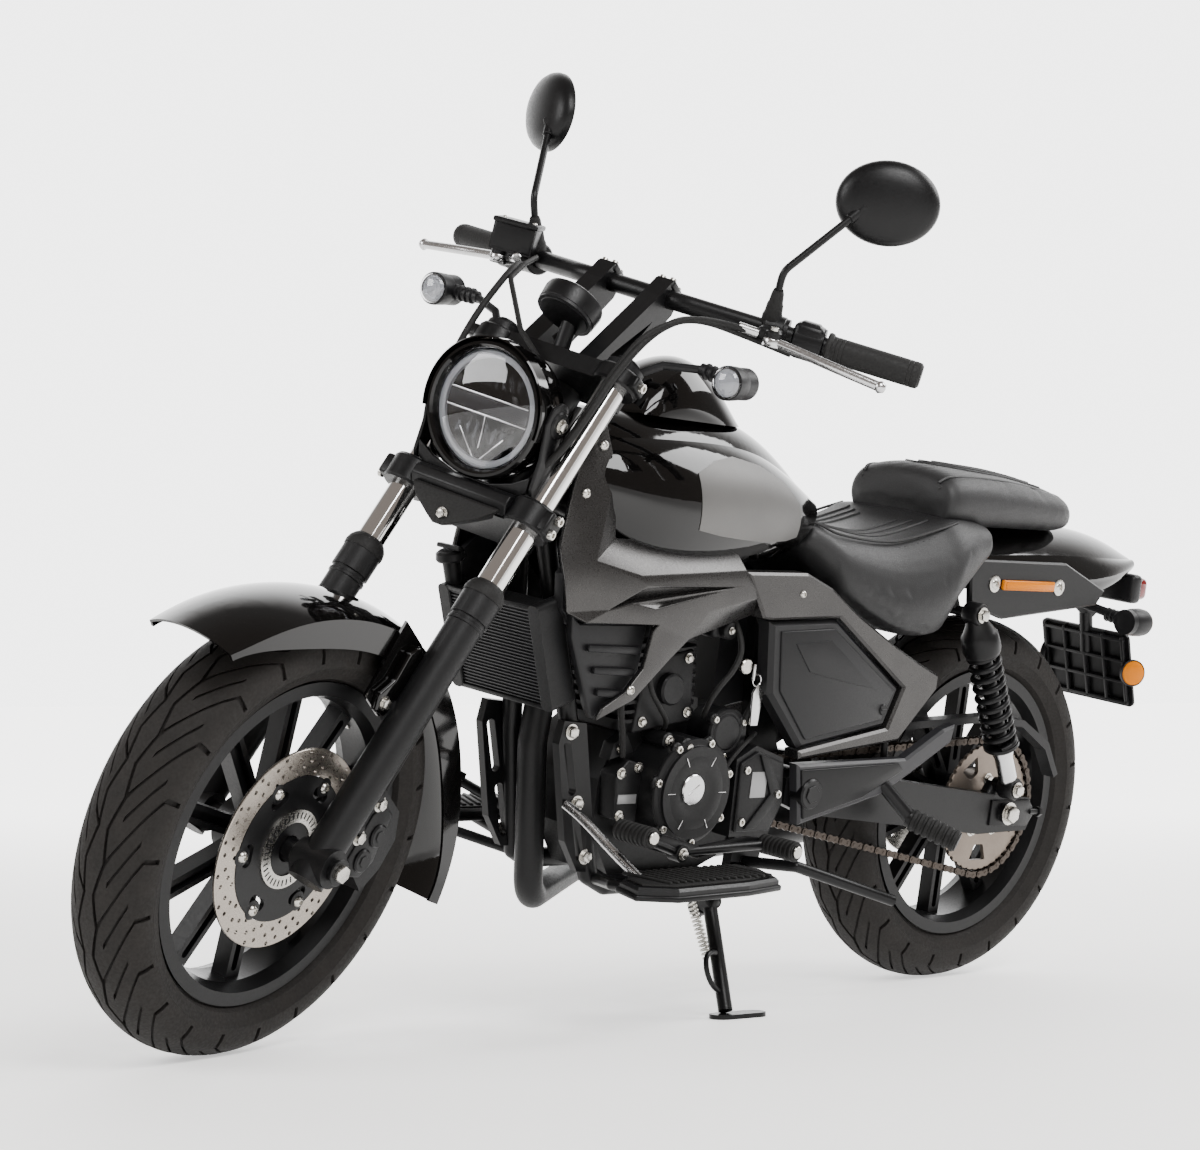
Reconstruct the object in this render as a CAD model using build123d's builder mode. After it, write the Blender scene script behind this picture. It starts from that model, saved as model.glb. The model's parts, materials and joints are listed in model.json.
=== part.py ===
# Mid-size cruiser motorcycle, parked on its side stand with the front wheel turned left.
# Every piece is drawn upright and steered straight: X forward, Y left, Z up, rear axle over x = 0.
# The finished pieces are then steered, leaned and set on the floor together.
import os
from math import asin, cos, degrees, radians, sin, sqrt

from build123d import *

os.makedirs("parts", exist_ok=True)

# Stance
WHEELBASE = 1475.0
RAKE = 33.0
YOKE_OFFSET = 52.0
LEAN = 11.0
STEER = 16.0
FIT = 0.3

# Wheels
FRONT_TYRE_RADIUS = 312.0
FRONT_TYRE_WIDTH = 122.0
REAR_TYRE_RADIUS = 314.0
REAR_TYRE_WIDTH = 138.0
BEAD_RADIUS = 216.0
FLANGE_HEIGHT = 13.0
SHOULDER_DROP = 28.0
FRONT_RIM_HALF = 38.0
REAR_RIM_HALF = 47.0
HUB_RADIUS = 40.0
HUB_HALF = 46.0
SPOKES = 10
SPOKE_WIDTH = 27.0
SPOKE_DEPTH = 26.0
AXLE_RADIUS = 10.0
DISC_Y = 54.0
DISC_RADIUS = 141.0
DISC_THICKNESS = 4.5
REAR_DISC_RADIUS = 112.0

# Fork and steering
FORK_HALF = 107.0
SLIDER_RADIUS = 26.0
TUBE_RADIUS = 20.5
SLIDER_TOP = 424.0
LOWER_YOKE = 557.0
UPPER_YOKE = 798.0
YOKE_BOSS = 33.0
STEM_RADIUS = 14.5
LOCK = 32.0
BAR_U = -62.0
BAR_W = 978.0
BAR_RADIUS = 14.0
BAR_STRAIGHT = 90.0
BAR_HALF = 412.0
BAR_SWEEP = 135.0
GRIP_LENGTH = 126.0
RISER_Y = 52.0
FENDER_GAP = 30.0
HORN_HALF = 84.0
FENDER_HALF = 75.0
HEADLIGHT_RADIUS = 98.0

# Drive and rear
PIVOT_X = WHEELBASE - 950.0
PIVOT_Z = 366.0
PIVOT_TUBE = 20.0
SPROCKET_Y = 86.0
SPROCKET_RADIUS = 110.0
FRONT_SPROCKET_X = WHEELBASE - 863.0
FRONT_SPROCKET_RADIUS = 36.0
CHAIN_WIDTH = 16.0
CHAIN_HEIGHT = 12.0
ARM_INNER = 101.0
ARM_OUTER = 129.0
SHOCK_Y = 150.0
STAND_FOOT_X = WHEELBASE - 769.0
STAND_FOOT_Y = 208.0
STAND_GAP = 16.5

# Frame, engine and body are drawn for this wheelbase and move with the steering head when it changes
DRAWN_WHEELBASE = 1475.0
FRAME_SHIFT = WHEELBASE - DRAWN_WHEELBASE

# Derived frames of reference
S = sin(radians(RAKE))
C = cos(radians(RAKE))
FRONT_AXLE = Vector(WHEELBASE, 0, FRONT_TYRE_RADIUS)
REAR_AXLE = Vector(0, 0, REAR_TYRE_RADIUS)
# Fork frame: u forward, v left, w up along the legs, from the front axle
FORK = Plane(origin=FRONT_AXLE, x_dir=(C, 0, S), z_dir=(-S, 0, C))
FORK_SIDE = Plane(origin=FRONT_AXLE, x_dir=(C, 0, S), z_dir=(0, -1, 0))
STEM = Plane(origin=FORK.from_local_coords((-YOKE_OFFSET, 0, 0)), x_dir=(C, 0, S), z_dir=(-S, 0, C))
SIDE = Plane(origin=(FRAME_SHIFT, 0, 0), x_dir=(1, 0, 0), z_dir=(0, -1, 0))
REAR_VIEW = Plane(origin=(0, 0, 0), x_dir=(1, 0, 0), z_dir=(0, -1, 0))


def on_fork(u, v, w):
    return FORK.from_local_coords(Vector(u, v, w))


def at(x, y, z):
    return Vector(x + FRAME_SHIFT, y, z)


def rod(start, end, radius, mode=Mode.ADD):
    run = Vector(end) - Vector(start)
    with Locations(Plane(origin=start, z_dir=run).location):
        Cylinder(radius, run.length, align=(Align.CENTER, Align.CENTER, Align.MIN), mode=mode)


def ball(centre, radius):
    with Locations(Pos(*centre)):
        Sphere(radius)


def tube_run(points, radius):
    for start, end in zip(points, points[1:]):
        rod(start, end, radius)
    for middle in points[1:-1]:
        ball(middle, radius)


def save(built, name):
    built.label = name
    export_step(built, f"parts/{name}.step")


# Parked placement: steer about the stem, lean to the left, then pitch and lift onto both tyres
steered = STEM.location * Rot(Z=STEER) * STEM.location.inverse()


def tyre_bottom(place, axle, radius, width):
    half = width / 2 - 5
    crown = (half**2 + SHOULDER_DROP**2) / (2 * SHOULDER_DROP)
    centre = (place * Pos(*axle)).position
    side = (place * Pos(axle.X, axle.Y + 1, axle.Z)).position - centre
    return centre.Z - (radius - crown) * sqrt(1 - side.Z**2) - crown


pitch = 0.0
lift = 0.0
for _ in range(4):
    parked = Pos(0, 0, lift) * Rot(Y=pitch) * Rot(X=-LEAN)
    front_gap = tyre_bottom(parked * steered, FRONT_AXLE, FRONT_TYRE_RADIUS, FRONT_TYRE_WIDTH)
    rear_gap = tyre_bottom(parked, REAR_AXLE, REAR_TYRE_RADIUS, REAR_TYRE_WIDTH)
    pitch += degrees((front_gap - rear_gap) / WHEELBASE)
    lift -= rear_gap
parked = Pos(0, 0, lift) * Rot(Y=pitch) * Rot(X=-LEAN)
FLOOR = Plane(parked.inverse())


# Tyres and cast wheels
def tyre(axle, radius, width, rim_half):
    crown = width / 2
    seat = BEAD_RADIUS + FIT
    edge = rim_half - FIT
    lip = BEAD_RADIUS + FLANGE_HEIGHT + 3
    with BuildPart() as built:
        with BuildSketch(Plane(origin=axle, x_dir=(0, 0, 1), z_dir=(-1, 0, 0))):
            with BuildLine():
                Polyline((lip + 4, -edge - 9), (lip, -edge), (seat, -edge), (seat, edge), (lip, edge),
                         (lip + 4, edge + 9))
                ThreePointArc((lip + 4, edge + 9), (radius - 50, crown), (radius - SHOULDER_DROP, crown - 5))
                ThreePointArc((radius - SHOULDER_DROP, crown - 5), (radius, 0),
                              (radius - SHOULDER_DROP, 5 - crown))
                ThreePointArc((radius - SHOULDER_DROP, 5 - crown), (radius - 50, -crown),
                              (lip + 4, -edge - 9))
            make_face()
        revolve(axis=Axis(axle, (0, 1, 0)))
    return built.part


def cast_wheel(axle, rim_half, left_flange):
    side = Plane(origin=axle, x_dir=(0, 0, 1), z_dir=(0, 1, 0))
    lip = BEAD_RADIUS + FLANGE_HEIGHT
    drum = BEAD_RADIUS - 14
    with BuildPart() as built:
        with BuildSketch(Plane(origin=axle, x_dir=(0, 0, 1), z_dir=(-1, 0, 0))):
            with BuildLine():
                Polyline((drum, 14 - rim_half), (drum, rim_half - 14), (drum + 8, rim_half + 6),
                         (lip, rim_half + 6), (lip, rim_half), (BEAD_RADIUS, rim_half),
                         (BEAD_RADIUS, -rim_half), (lip, -rim_half), (lip, -rim_half - 6),
                         (drum + 8, -rim_half - 6), close=True)
            make_face()
            with BuildLine():
                Polyline((AXLE_RADIUS + FIT, -HUB_HALF), (HUB_RADIUS, -HUB_HALF), (HUB_RADIUS, HUB_HALF - 4),
                         (left_flange, HUB_HALF - 4), (left_flange, HUB_HALF + 4),
                         (AXLE_RADIUS + FIT, HUB_HALF + 4), close=True)
            make_face()
        revolve(axis=Axis(axle, (0, 1, 0)))
        with BuildSketch(side):
            with PolarLocations((HUB_RADIUS + drum) / 2, SPOKES):
                Rectangle(drum - HUB_RADIUS + 14, SPOKE_WIDTH)
        extrude(amount=SPOKE_DEPTH / 2, both=True)
        for face_side in (1, -1):
            with BuildSketch(side.offset(face_side * SPOKE_DEPTH / 2)):
                with PolarLocations((HUB_RADIUS + drum) / 2 + 8, SPOKES):
                    SlotOverall(drum - HUB_RADIUS - 34, SPOKE_WIDTH * 0.4)
            extrude(amount=-face_side * SPOKE_DEPTH * 0.32, mode=Mode.SUBTRACT)
    return built.part


front_tyre = tyre(FRONT_AXLE, FRONT_TYRE_RADIUS, FRONT_TYRE_WIDTH, FRONT_RIM_HALF)
rear_tyre = tyre(REAR_AXLE, REAR_TYRE_RADIUS, REAR_TYRE_WIDTH, REAR_RIM_HALF)
front_wheel = cast_wheel(FRONT_AXLE, FRONT_RIM_HALF, 52)
rear_wheel = cast_wheel(REAR_AXLE, REAR_RIM_HALF, 62)

FRONT_SIDE = Plane(origin=FRONT_AXLE, x_dir=(0, 0, 1), z_dir=(0, 1, 0))
REAR_SIDE = Plane(origin=REAR_AXLE, x_dir=(0, 0, 1), z_dir=(0, 1, 0))
CARRIER_RADIUS = DISC_RADIUS - 38

with BuildPart() as front_disc:
    with BuildSketch(FRONT_SIDE.offset(DISC_Y)):
        Circle(DISC_RADIUS)
        Circle(CARRIER_RADIUS + FIT, mode=Mode.SUBTRACT)
        for ring, turn in ((DISC_RADIUS - 28, 0), (DISC_RADIUS - 19, 12), (DISC_RADIUS - 10, 24)):
            with PolarLocations(ring, 10, start_angle=turn):
                Circle(3.6, mode=Mode.SUBTRACT)
    extrude(amount=DISC_THICKNESS / 2, both=True)

with BuildPart() as disc_carrier:
    with BuildSketch(FRONT_SIDE.offset(HUB_HALF + 4)):
        Circle(CARRIER_RADIUS)
        Circle(AXLE_RADIUS + 9, mode=Mode.SUBTRACT)
        with PolarLocations(CARRIER_RADIUS - 20, 6, start_angle=30):
            SlotOverall(34, 17, rotation=90, mode=Mode.SUBTRACT)
        with PolarLocations(CARRIER_RADIUS + 4, 6, start_angle=30):
            Circle(13, mode=Mode.SUBTRACT)
    extrude(amount=7)

with BuildPart() as sprocket:
    with BuildSketch(REAR_SIDE.offset(SPROCKET_Y - 3.5)):
        Circle(SPROCKET_RADIUS)
        with PolarLocations(SPROCKET_RADIUS + 1.5, 42):
            Circle(4.6, mode=Mode.SUBTRACT)
        Circle(34, mode=Mode.SUBTRACT)
        with PolarLocations(80, 5, start_angle=36):
            RegularPolygon(17, 3, rotation=180, mode=Mode.SUBTRACT)
    extrude(amount=7)
    with BuildSketch(REAR_SIDE.offset(HUB_HALF + 4)):
        Circle(60)
        Circle(34, mode=Mode.SUBTRACT)
    extrude(amount=SPROCKET_Y - 3.5 - HUB_HALF - 4)

with BuildPart() as rear_disc:
    with BuildSketch(REAR_SIDE.offset(-HUB_HALF - 9)):
        Circle(REAR_DISC_RADIUS)
        Circle(AXLE_RADIUS + 9, mode=Mode.SUBTRACT)
        with PolarLocations(62, 5):
            Circle(20, mode=Mode.SUBTRACT)
        with PolarLocations(REAR_DISC_RADIUS - 14, 15):
            Circle(4, mode=Mode.SUBTRACT)
    extrude(amount=5)
    with BuildSketch(REAR_SIDE.offset(-HUB_HALF - 4)):
        Circle(36)
        Circle(AXLE_RADIUS + 9, mode=Mode.SUBTRACT)
    extrude(amount=4)

# Fork
LEG_INNER = FORK_HALF - SLIDER_RADIUS
with BuildPart() as front_axle:
    rod(FRONT_AXLE - Vector(0, FORK_HALF + 34, 0), FRONT_AXLE + Vector(0, FORK_HALF + 34, 0), AXLE_RADIUS)
    for y in (HUB_HALF + 5, -HUB_HALF - 1):
        rod(FRONT_AXLE + Vector(0, y, 0), FRONT_AXLE + Vector(0, LEG_INNER * (1 if y > 0 else -1), 0), 17)
    for y in (1, -1):
        rod(FRONT_AXLE + Vector(0, y * (FORK_HALF + 29), 0), FRONT_AXLE + Vector(0, y * (FORK_HALF + 38),
                                                                                 0), 15)
    rod(FRONT_AXLE - Vector(0, 200, 0), FRONT_AXLE + Vector(0, 200, 0), 5, mode=Mode.SUBTRACT)

with BuildPart() as fork_sliders:
    with BuildSketch(FORK.offset(-30)):
        with Locations((0, FORK_HALF), (0, -FORK_HALF)):
            Circle(SLIDER_RADIUS)
    extrude(amount=SLIDER_TOP + 30)
    with BuildSketch(FORK.offset(SLIDER_TOP - 34)):
        with Locations((0, FORK_HALF), (0, -FORK_HALF)):
            Circle(SLIDER_RADIUS + 2.5)
    extrude(amount=34)
    for y in (1, -1):
        rod(on_fork(0, y * (FORK_HALF + 29), 0), on_fork(0, y * LEG_INNER, 0), 27)
        rod(on_fork(4, y * (FENDER_HALF + 4), 228), on_fork(4, y * FORK_HALF, 228), 20)
    rod(on_fork(-8, FORK_HALF - 14, 78), on_fork(-60, FORK_HALF - 14, 78), 11)
    rod(on_fork(-8, FORK_HALF - 14, 130), on_fork(-60, FORK_HALF - 14, 130), 11)
    with BuildSketch(FORK.offset(SLIDER_TOP - 60)):
        with Locations((0, FORK_HALF), (0, -FORK_HALF)):
            Circle(TUBE_RADIUS + FIT)
    extrude(amount=80, mode=Mode.SUBTRACT)
    rod(FRONT_AXLE - Vector(0, 200, 0), FRONT_AXLE + Vector(0, 200, 0), AXLE_RADIUS + FIT, mode=Mode.SUBTRACT)

with BuildPart() as fork_tubes:
    with BuildSketch(FORK.offset(SLIDER_TOP - 60)):
        with Locations((0, FORK_HALF), (0, -FORK_HALF)):
            Circle(TUBE_RADIUS)
    extrude(amount=UPPER_YOKE + 26 - SLIDER_TOP + 60)

with BuildPart() as triple_clamps:
    for level, depth in ((LOWER_YOKE, 40), (UPPER_YOKE, 28)):
        with BuildSketch(FORK.offset(level - depth / 2)):
            with Locations((0, FORK_HALF), (0, -FORK_HALF)):
                Circle(YOKE_BOSS)
            with Locations((-YOKE_OFFSET / 2, 0)):
                Rectangle(YOKE_OFFSET + 44, 2 * FORK_HALF - 40)
        extrude(amount=depth)
    with BuildSketch(FORK.offset(LOWER_YOKE - 60)):
        with Locations((0, FORK_HALF), (0, -FORK_HALF)):
            Circle(TUBE_RADIUS + FIT)
    extrude(amount=UPPER_YOKE - LOWER_YOKE + 120, mode=Mode.SUBTRACT)
    rod(on_fork(-YOKE_OFFSET, 0, LOWER_YOKE), on_fork(-YOKE_OFFSET, 0, UPPER_YOKE), STEM_RADIUS)
    rod(on_fork(-YOKE_OFFSET, 0, UPPER_YOKE), on_fork(-YOKE_OFFSET, 0, UPPER_YOKE + 24), 18)

# Front fender sections: angle from straight ahead, clearance beyond FENDER_GAP, half width, skirt depth
FENDER = ((52, 44, 70, 30), (62, 28, 74, 40), (78, 12, FENDER_HALF, 58), (100, 1, FENDER_HALF, 60),
          (125, 4, FENDER_HALF, 60),
          (150, 12, FENDER_HALF, 62), (178, 36, FENDER_HALF, 58), (199, 58, FENDER_HALF - 2, 46))


def fender_section(angle, gap, half, skirt, wall):
    turn = radians(angle)
    crown = FRONT_TYRE_RADIUS + FENDER_GAP + gap
    with BuildSketch(Plane(origin=FRONT_AXLE, x_dir=(cos(turn), 0, sin(turn)),
                           z_dir=(-sin(turn), 0, cos(turn)))) as section:
        with BuildLine():
            Polyline((crown - 20, half), (crown - skirt, half), (crown - skirt, half - wall),
                     (crown - 20 - wall / 2, half - wall))
            ThreePointArc((crown - 20 - wall / 2, half - wall), (crown - wall, 0),
                          (crown - 20 - wall / 2, wall - half))
            Polyline((crown - 20 - wall / 2, wall - half), (crown - skirt, wall - half),
                     (crown - skirt, -half), (crown - 20, -half))
            ThreePointArc((crown - 20, -half), (crown, 0), (crown - 20, half))
        make_face()
    return section.sketch


with BuildPart() as front_fender:
    loft([fender_section(*row, 4) for row in FENDER])
    for y in (1, -1):
        with BuildSketch(FORK_SIDE.offset(-y * (FENDER_HALF + 2))):
            with BuildLine():
                Polyline((-30, 255), (20, 210), (70, 215), (80, 330), (20, 325), close=True)
            make_face()
        extrude(amount=2, both=True)

with BuildPart() as front_caliper:
    with BuildSketch(FORK_SIDE.offset(-DISC_Y - 36)):
        with BuildLine():
            Polyline((-60, 40), (-150, 18), (-162, 60), (-158, 106), (-130, 138), (-60, 146), close=True)
        make_face()
    extrude(amount=60)
    with BuildSketch(FORK_SIDE.offset(-DISC_Y)):
        Circle(DISC_RADIUS + 5)
    extrude(amount=DISC_THICKNESS / 2 + 4, both=True, mode=Mode.SUBTRACT)

# Handlebar and what it carries
BAR = on_fork(BAR_U, 0, BAR_W)
BAR_LEFT = [BAR + Vector(-BAR_SWEEP, BAR_HALF, -13), BAR + Vector(0, BAR_STRAIGHT, 0)]
BAR_RIGHT = [BAR + Vector(0, -BAR_STRAIGHT, 0), BAR + Vector(-BAR_SWEEP, -BAR_HALF, -13)]
BAR_RUN = (BAR_LEFT[1] - BAR_LEFT[0]).normalized()


def along_bar(distance, forward=0, up=0):
    return BAR_LEFT[0] + BAR_RUN * distance + Vector(forward, forward * 0.3, up)


with BuildPart() as bar_risers:
    for y in (RISER_Y, -RISER_Y):
        with BuildSketch(FORK_SIDE.offset(-y)):
            with BuildLine():
                Polyline((-44, UPPER_YOKE + 14), (18, UPPER_YOKE + 14), (BAR_U + 27, BAR_W - 12),
                         (BAR_U + 18, BAR_W + 20), (BAR_U - 20, BAR_W + 18), (BAR_U - 25, BAR_W - 12),
                         close=True)
            make_face()
            with BuildLine():
                Polyline((-36, UPPER_YOKE + 40), (-8, UPPER_YOKE + 40), (BAR_U + 8, BAR_W - 46), close=True)
            make_face(mode=Mode.SUBTRACT)
            with Locations((BAR_U, BAR_W)):
                Circle(BAR_RADIUS + FIT, mode=Mode.SUBTRACT)
        extrude(amount=15, both=True)

with BuildPart() as handlebar:
    with BuildLine() as bar_line:
        FilletPolyline(BAR_LEFT[0], BAR_LEFT[1], BAR_RIGHT[0], BAR_RIGHT[1], radius=60)
    with BuildSketch(Plane(origin=BAR_LEFT[0], z_dir=BAR_RUN)):
        Circle(BAR_RADIUS)
    sweep(path=bar_line.line)

with BuildPart() as grips:
    rod(along_bar(-8), along_bar(GRIP_LENGTH), 18)
    rod(along_bar(GRIP_LENGTH), along_bar(GRIP_LENGTH + 6), 21)
    rod(along_bar(0), along_bar(GRIP_LENGTH + 20), BAR_RADIUS + FIT, mode=Mode.SUBTRACT)
    mirror(about=Plane.XZ)

with BuildPart() as bar_controls:
    rod(along_bar(GRIP_LENGTH + 12), along_bar(GRIP_LENGTH + 54), 25)
    rod(along_bar(GRIP_LENGTH + 66), along_bar(GRIP_LENGTH + 100), 23)
    rod(along_bar(GRIP_LENGTH + 84), along_bar(GRIP_LENGTH + 80, 52, -6), 13)
    rod(along_bar(GRIP_LENGTH), along_bar(GRIP_LENGTH + 150), BAR_RADIUS + FIT, mode=Mode.SUBTRACT)
    mirror(about=Plane.XZ)
    reservoir = along_bar(GRIP_LENGTH + 82, 40, 2)
    with BuildSketch(Plane(origin=(reservoir.X, -reservoir.Y, reservoir.Z), x_dir=(0.35, -1, 0))):
        Rectangle(66, 42)
    extrude(amount=42)
    rod(along_bar(0), along_bar(GRIP_LENGTH + 200), BAR_RADIUS + FIT, mode=Mode.SUBTRACT)
    rod(BAR_RIGHT[1], BAR_RIGHT[0], BAR_RADIUS + FIT, mode=Mode.SUBTRACT)

LEVER_HINGE = along_bar(GRIP_LENGTH + 72, 58, -8)
LEVER_BEND = along_bar(GRIP_LENGTH + 20, 66, -12)
LEVER_TIP = along_bar(28, 88, -22)
with BuildPart() as levers:
    tube_run([LEVER_HINGE, LEVER_BEND, LEVER_TIP], 6.5)
    ball(LEVER_TIP, 9.5)
    rod(LEVER_HINGE + Vector(0, 0, -13), LEVER_HINGE + Vector(0, 0, 13), 11)
    mirror(about=Plane.XZ)
    add(bar_controls.part, mode=Mode.SUBTRACT)

MIRROR_BASE = along_bar(GRIP_LENGTH + 92, 6, 18)
MIRROR_HEAD = Vector(BAR.X - 128, 303, BAR.Z + 210)
with BuildPart() as mirrors:
    tube_run([MIRROR_BASE, MIRROR_BASE + Vector(24, 12, 78), MIRROR_HEAD + Vector(26, -34, -12)], 5.5)
    ball(MIRROR_HEAD + Vector(26, -34, -12), 10)
    for depth, slope in ((-8, 0), (22, 38)):
        with BuildSketch(Plane(origin=MIRROR_HEAD, x_dir=(-0.53, 0.85, 0.12), z_dir=(0.85, 0.53, 0.05))):
            Ellipse(75, 61)
        extrude(amount=depth, taper=slope)
    mirror(about=Plane.XZ)
    add(bar_controls.part, mode=Mode.SUBTRACT)
    add(handlebar.part, mode=Mode.SUBTRACT)

SIGNAL = on_fork(-15, 262, 858)
with BuildPart() as front_signals:
    rod(SIGNAL + Vector(-34, 0, 0), SIGNAL + Vector(16, 0, 0), 23)
    rod(SIGNAL + Vector(-14, 0, 0), SIGNAL + Vector(-14, -62, 4), 9)
    tube_run([SIGNAL + Vector(-14, -58, 4), on_fork(-12, 150, UPPER_YOKE + 52),
              on_fork(-6, FORK_HALF + 12, UPPER_YOKE + 19)], 6)
    rod(on_fork(0, FORK_HALF, UPPER_YOKE + 14), on_fork(0, FORK_HALF, UPPER_YOKE + 24), TUBE_RADIUS + 8)
    rod(on_fork(0, FORK_HALF, UPPER_YOKE), on_fork(0, FORK_HALF, UPPER_YOKE + 40), TUBE_RADIUS + FIT,
        mode=Mode.SUBTRACT)
    mirror(about=Plane.XZ)

# Headlight
LAMP = on_fork(84, 0, 656)
LAMP_PROFILE = Plane(origin=LAMP, x_dir=(1, 0, 0), z_dir=(0, -1, 0))
with BuildPart() as headlight_shell:
    with BuildSketch(LAMP_PROFILE):
        with BuildLine():
            Polyline((0, HEADLIGHT_RADIUS - 14), (0, HEADLIGHT_RADIUS), (-16, HEADLIGHT_RADIUS), (-54, 90),
                     (-76, 60),
                     (-80, 0), (-12, 0), (-12, HEADLIGHT_RADIUS - 14), close=True)
        make_face()
    revolve(axis=Axis(LAMP, (1, 0, 0)))

LENS_RADIUS = HEADLIGHT_RADIUS - 14 - FIT
LENS_BULGE = 7.0
LENS_SPHERE = (LENS_RADIUS**2 + 10**2) / (2 * 10)
with BuildPart() as headlight_lens:
    with BuildSketch(LAMP_PROFILE):
        with BuildLine():
            Line((-12, 0), (-12, LENS_RADIUS))
            Line((-12, LENS_RADIUS), (LENS_BULGE - 10, LENS_RADIUS))
            CenterArc((LENS_BULGE - LENS_SPHERE, 0), LENS_SPHERE, 0, degrees(asin(LENS_RADIUS / LENS_SPHERE)))
            Line((LENS_BULGE, 0), (-12, 0))
        make_face()
    revolve(axis=Axis(LAMP, (1, 0, 0)))

with BuildPart() as headlight_bracket:
    for y in (1, -1):
        rod(LAMP + Vector(-34, y * 86, 6), LAMP + Vector(-34, y * 106, 6), 14)
        tube_run([LAMP + Vector(-34, y * 99, 6), LAMP + Vector(-6, y * 88, -70),
                  on_fork(40, y * 66, LOWER_YOKE + 4)], 8)
        rod(on_fork(40, y * 66, LOWER_YOKE + 4), on_fork(22, y * 66, LOWER_YOKE + 4), 10)
    add(headlight_shell.part, mode=Mode.SUBTRACT)

with BuildPart() as instrument:
    with Locations(Plane(origin=on_fork(44, 0, UPPER_YOKE + 66), z_dir=(-0.6, 0, 0.8)).location):
        Cylinder(44, 30)
    rod(on_fork(6, 0, UPPER_YOKE + 14), on_fork(26, 0, UPPER_YOKE + 60), 12)
    rod(on_fork(0, 0, UPPER_YOKE), on_fork(0, 0, UPPER_YOKE + 14), 60, mode=Mode.SUBTRACT)

HOSE_ROUTE = (on_fork(-100, DISC_Y + 18, 128), on_fork(-84, DISC_Y + 26, 200), on_fork(-42, FORK_HALF, 262),
              on_fork(-40, FORK_HALF - 4, LOWER_YOKE - 130), on_fork(-86, FORK_HALF - 38, LOWER_YOKE - 32),
              on_fork(-88, FORK_HALF - 47, LOWER_YOKE + 40), on_fork(-16, FORK_HALF - 50, LOWER_YOKE + 100),
              on_fork(34, FORK_HALF - 64, UPPER_YOKE - 50), on_fork(44, -52, UPPER_YOKE + 10),
              on_fork(30, -128, UPPER_YOKE + 90), on_fork(-10, -150, BAR_W - 40),
              on_fork(-48, -168, BAR_W - 6))
with BuildPart() as brake_hose:
    with BuildLine() as hose_line:
        FilletPolyline(*HOSE_ROUTE, radius=26)
    with BuildSketch(Plane(origin=HOSE_ROUTE[0], z_dir=HOSE_ROUTE[1] - HOSE_ROUTE[0])):
        Circle(4)
    sweep(path=hose_line.line)
    add(front_caliper.part, mode=Mode.SUBTRACT)
    add(bar_controls.part, mode=Mode.SUBTRACT)

# Frame
STAND_PIVOT = at(676, 112, 196)
STAND_ANKLE = FLOOR.from_local_coords(Vector(STAND_FOOT_X, STAND_FOOT_Y, 11))
STAND_FOLDED = Vector(-1, 0.16, 0.02)
STAND_AXIS = (STAND_ANKLE - STAND_PIVOT).cross(STAND_FOLDED).normalized()
HEAD = on_fork(-YOKE_OFFSET, 0, (LOWER_YOKE + UPPER_YOKE) / 2)
BACKBONE_FRONT = on_fork(-YOKE_OFFSET, 0, LOWER_YOKE + 80)
BACKBONE_REAR = at(590, 0, 668)
BACKBONE_RADIUS = 26.0


def above_backbone(x):
    run = BACKBONE_FRONT - BACKBONE_REAR
    clear = BACKBONE_RADIUS * run.length / run.X + FIT
    return (x, BACKBONE_REAR.Z + run.Z / run.X * (x + FRAME_SHIFT - BACKBONE_REAR.X) + clear)


HANGER = ((962, 470), (1006, 474), (1012, 440), (976, 296), (944, 250), (906, 248), (926, 330))
with BuildPart() as main_frame:
    rod(on_fork(-YOKE_OFFSET, 0, LOWER_YOKE + 21), on_fork(-YOKE_OFFSET, 0, UPPER_YOKE - 15), 29)
    rod(BACKBONE_FRONT, BACKBONE_REAR, BACKBONE_RADIUS)
    for y in (1, -1):
        tube_run([at(1044, y * 20, 790), at(962, y * 66, 430), at(912, y * 82, 242), at(880, y * 86, 226),
                  at(602, y * 86, 226), at(560, y * 60, 224)], 15)
        tube_run([at(590, y * 20, 668), at(560, y * 60, 676), at(330, y * 86, 696), at(60, y * 74, 718),
                  at(-140, y * 52, 732)], 13)
        with BuildSketch(SIDE.offset(-y * 57)):
            with BuildLine():
                Polyline((530, 214), (590, 214), (586, 300), (572, 366), (586, 440), (612, 690), (566, 690),
                         (520, 430),
                         (490, 366), (515, 310), close=True)
            make_face()
        extrude(amount=9, both=True)
        rod(at(177, y * 80, 709), at(177, y * 104, 653), 12)
        with BuildSketch(SIDE.offset(-y * 84)):
            with BuildLine():
                Polyline(*HANGER, close=True)
            make_face()
            for x, z in ((984, 404), (952, 306)):
                with Locations((x, z)):
                    SlotOverall(84, 15, rotation=73, mode=Mode.SUBTRACT)
        extrude(amount=7, both=True)
    rod(at(177, -SHOCK_Y - 18, 653), at(177, SHOCK_Y + 18, 653), 8)
    rod(at(676, 86, 226), STAND_PIVOT - STAND_AXIS * 26, 13)
    rod(STAND_PIVOT - STAND_AXIS * 36, STAND_PIVOT - STAND_AXIS * STAND_GAP, 15)
    rod(STAND_PIVOT - STAND_AXIS * STAND_GAP, STAND_PIVOT + STAND_AXIS * 40, 32, mode=Mode.SUBTRACT)
    rod(STAND_PIVOT - STAND_AXIS * 26, STAND_PIVOT + STAND_AXIS * 14, 6)
    rod(Vector(PIVOT_X, -90, PIVOT_Z), Vector(PIVOT_X, 90, PIVOT_Z), PIVOT_TUBE + FIT, mode=Mode.SUBTRACT)
    rod(on_fork(-YOKE_OFFSET, 0, LOWER_YOKE - 40), on_fork(-YOKE_OFFSET, 0, UPPER_YOKE + 40),
        STEM_RADIUS + FIT,
        mode=Mode.SUBTRACT)

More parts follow.
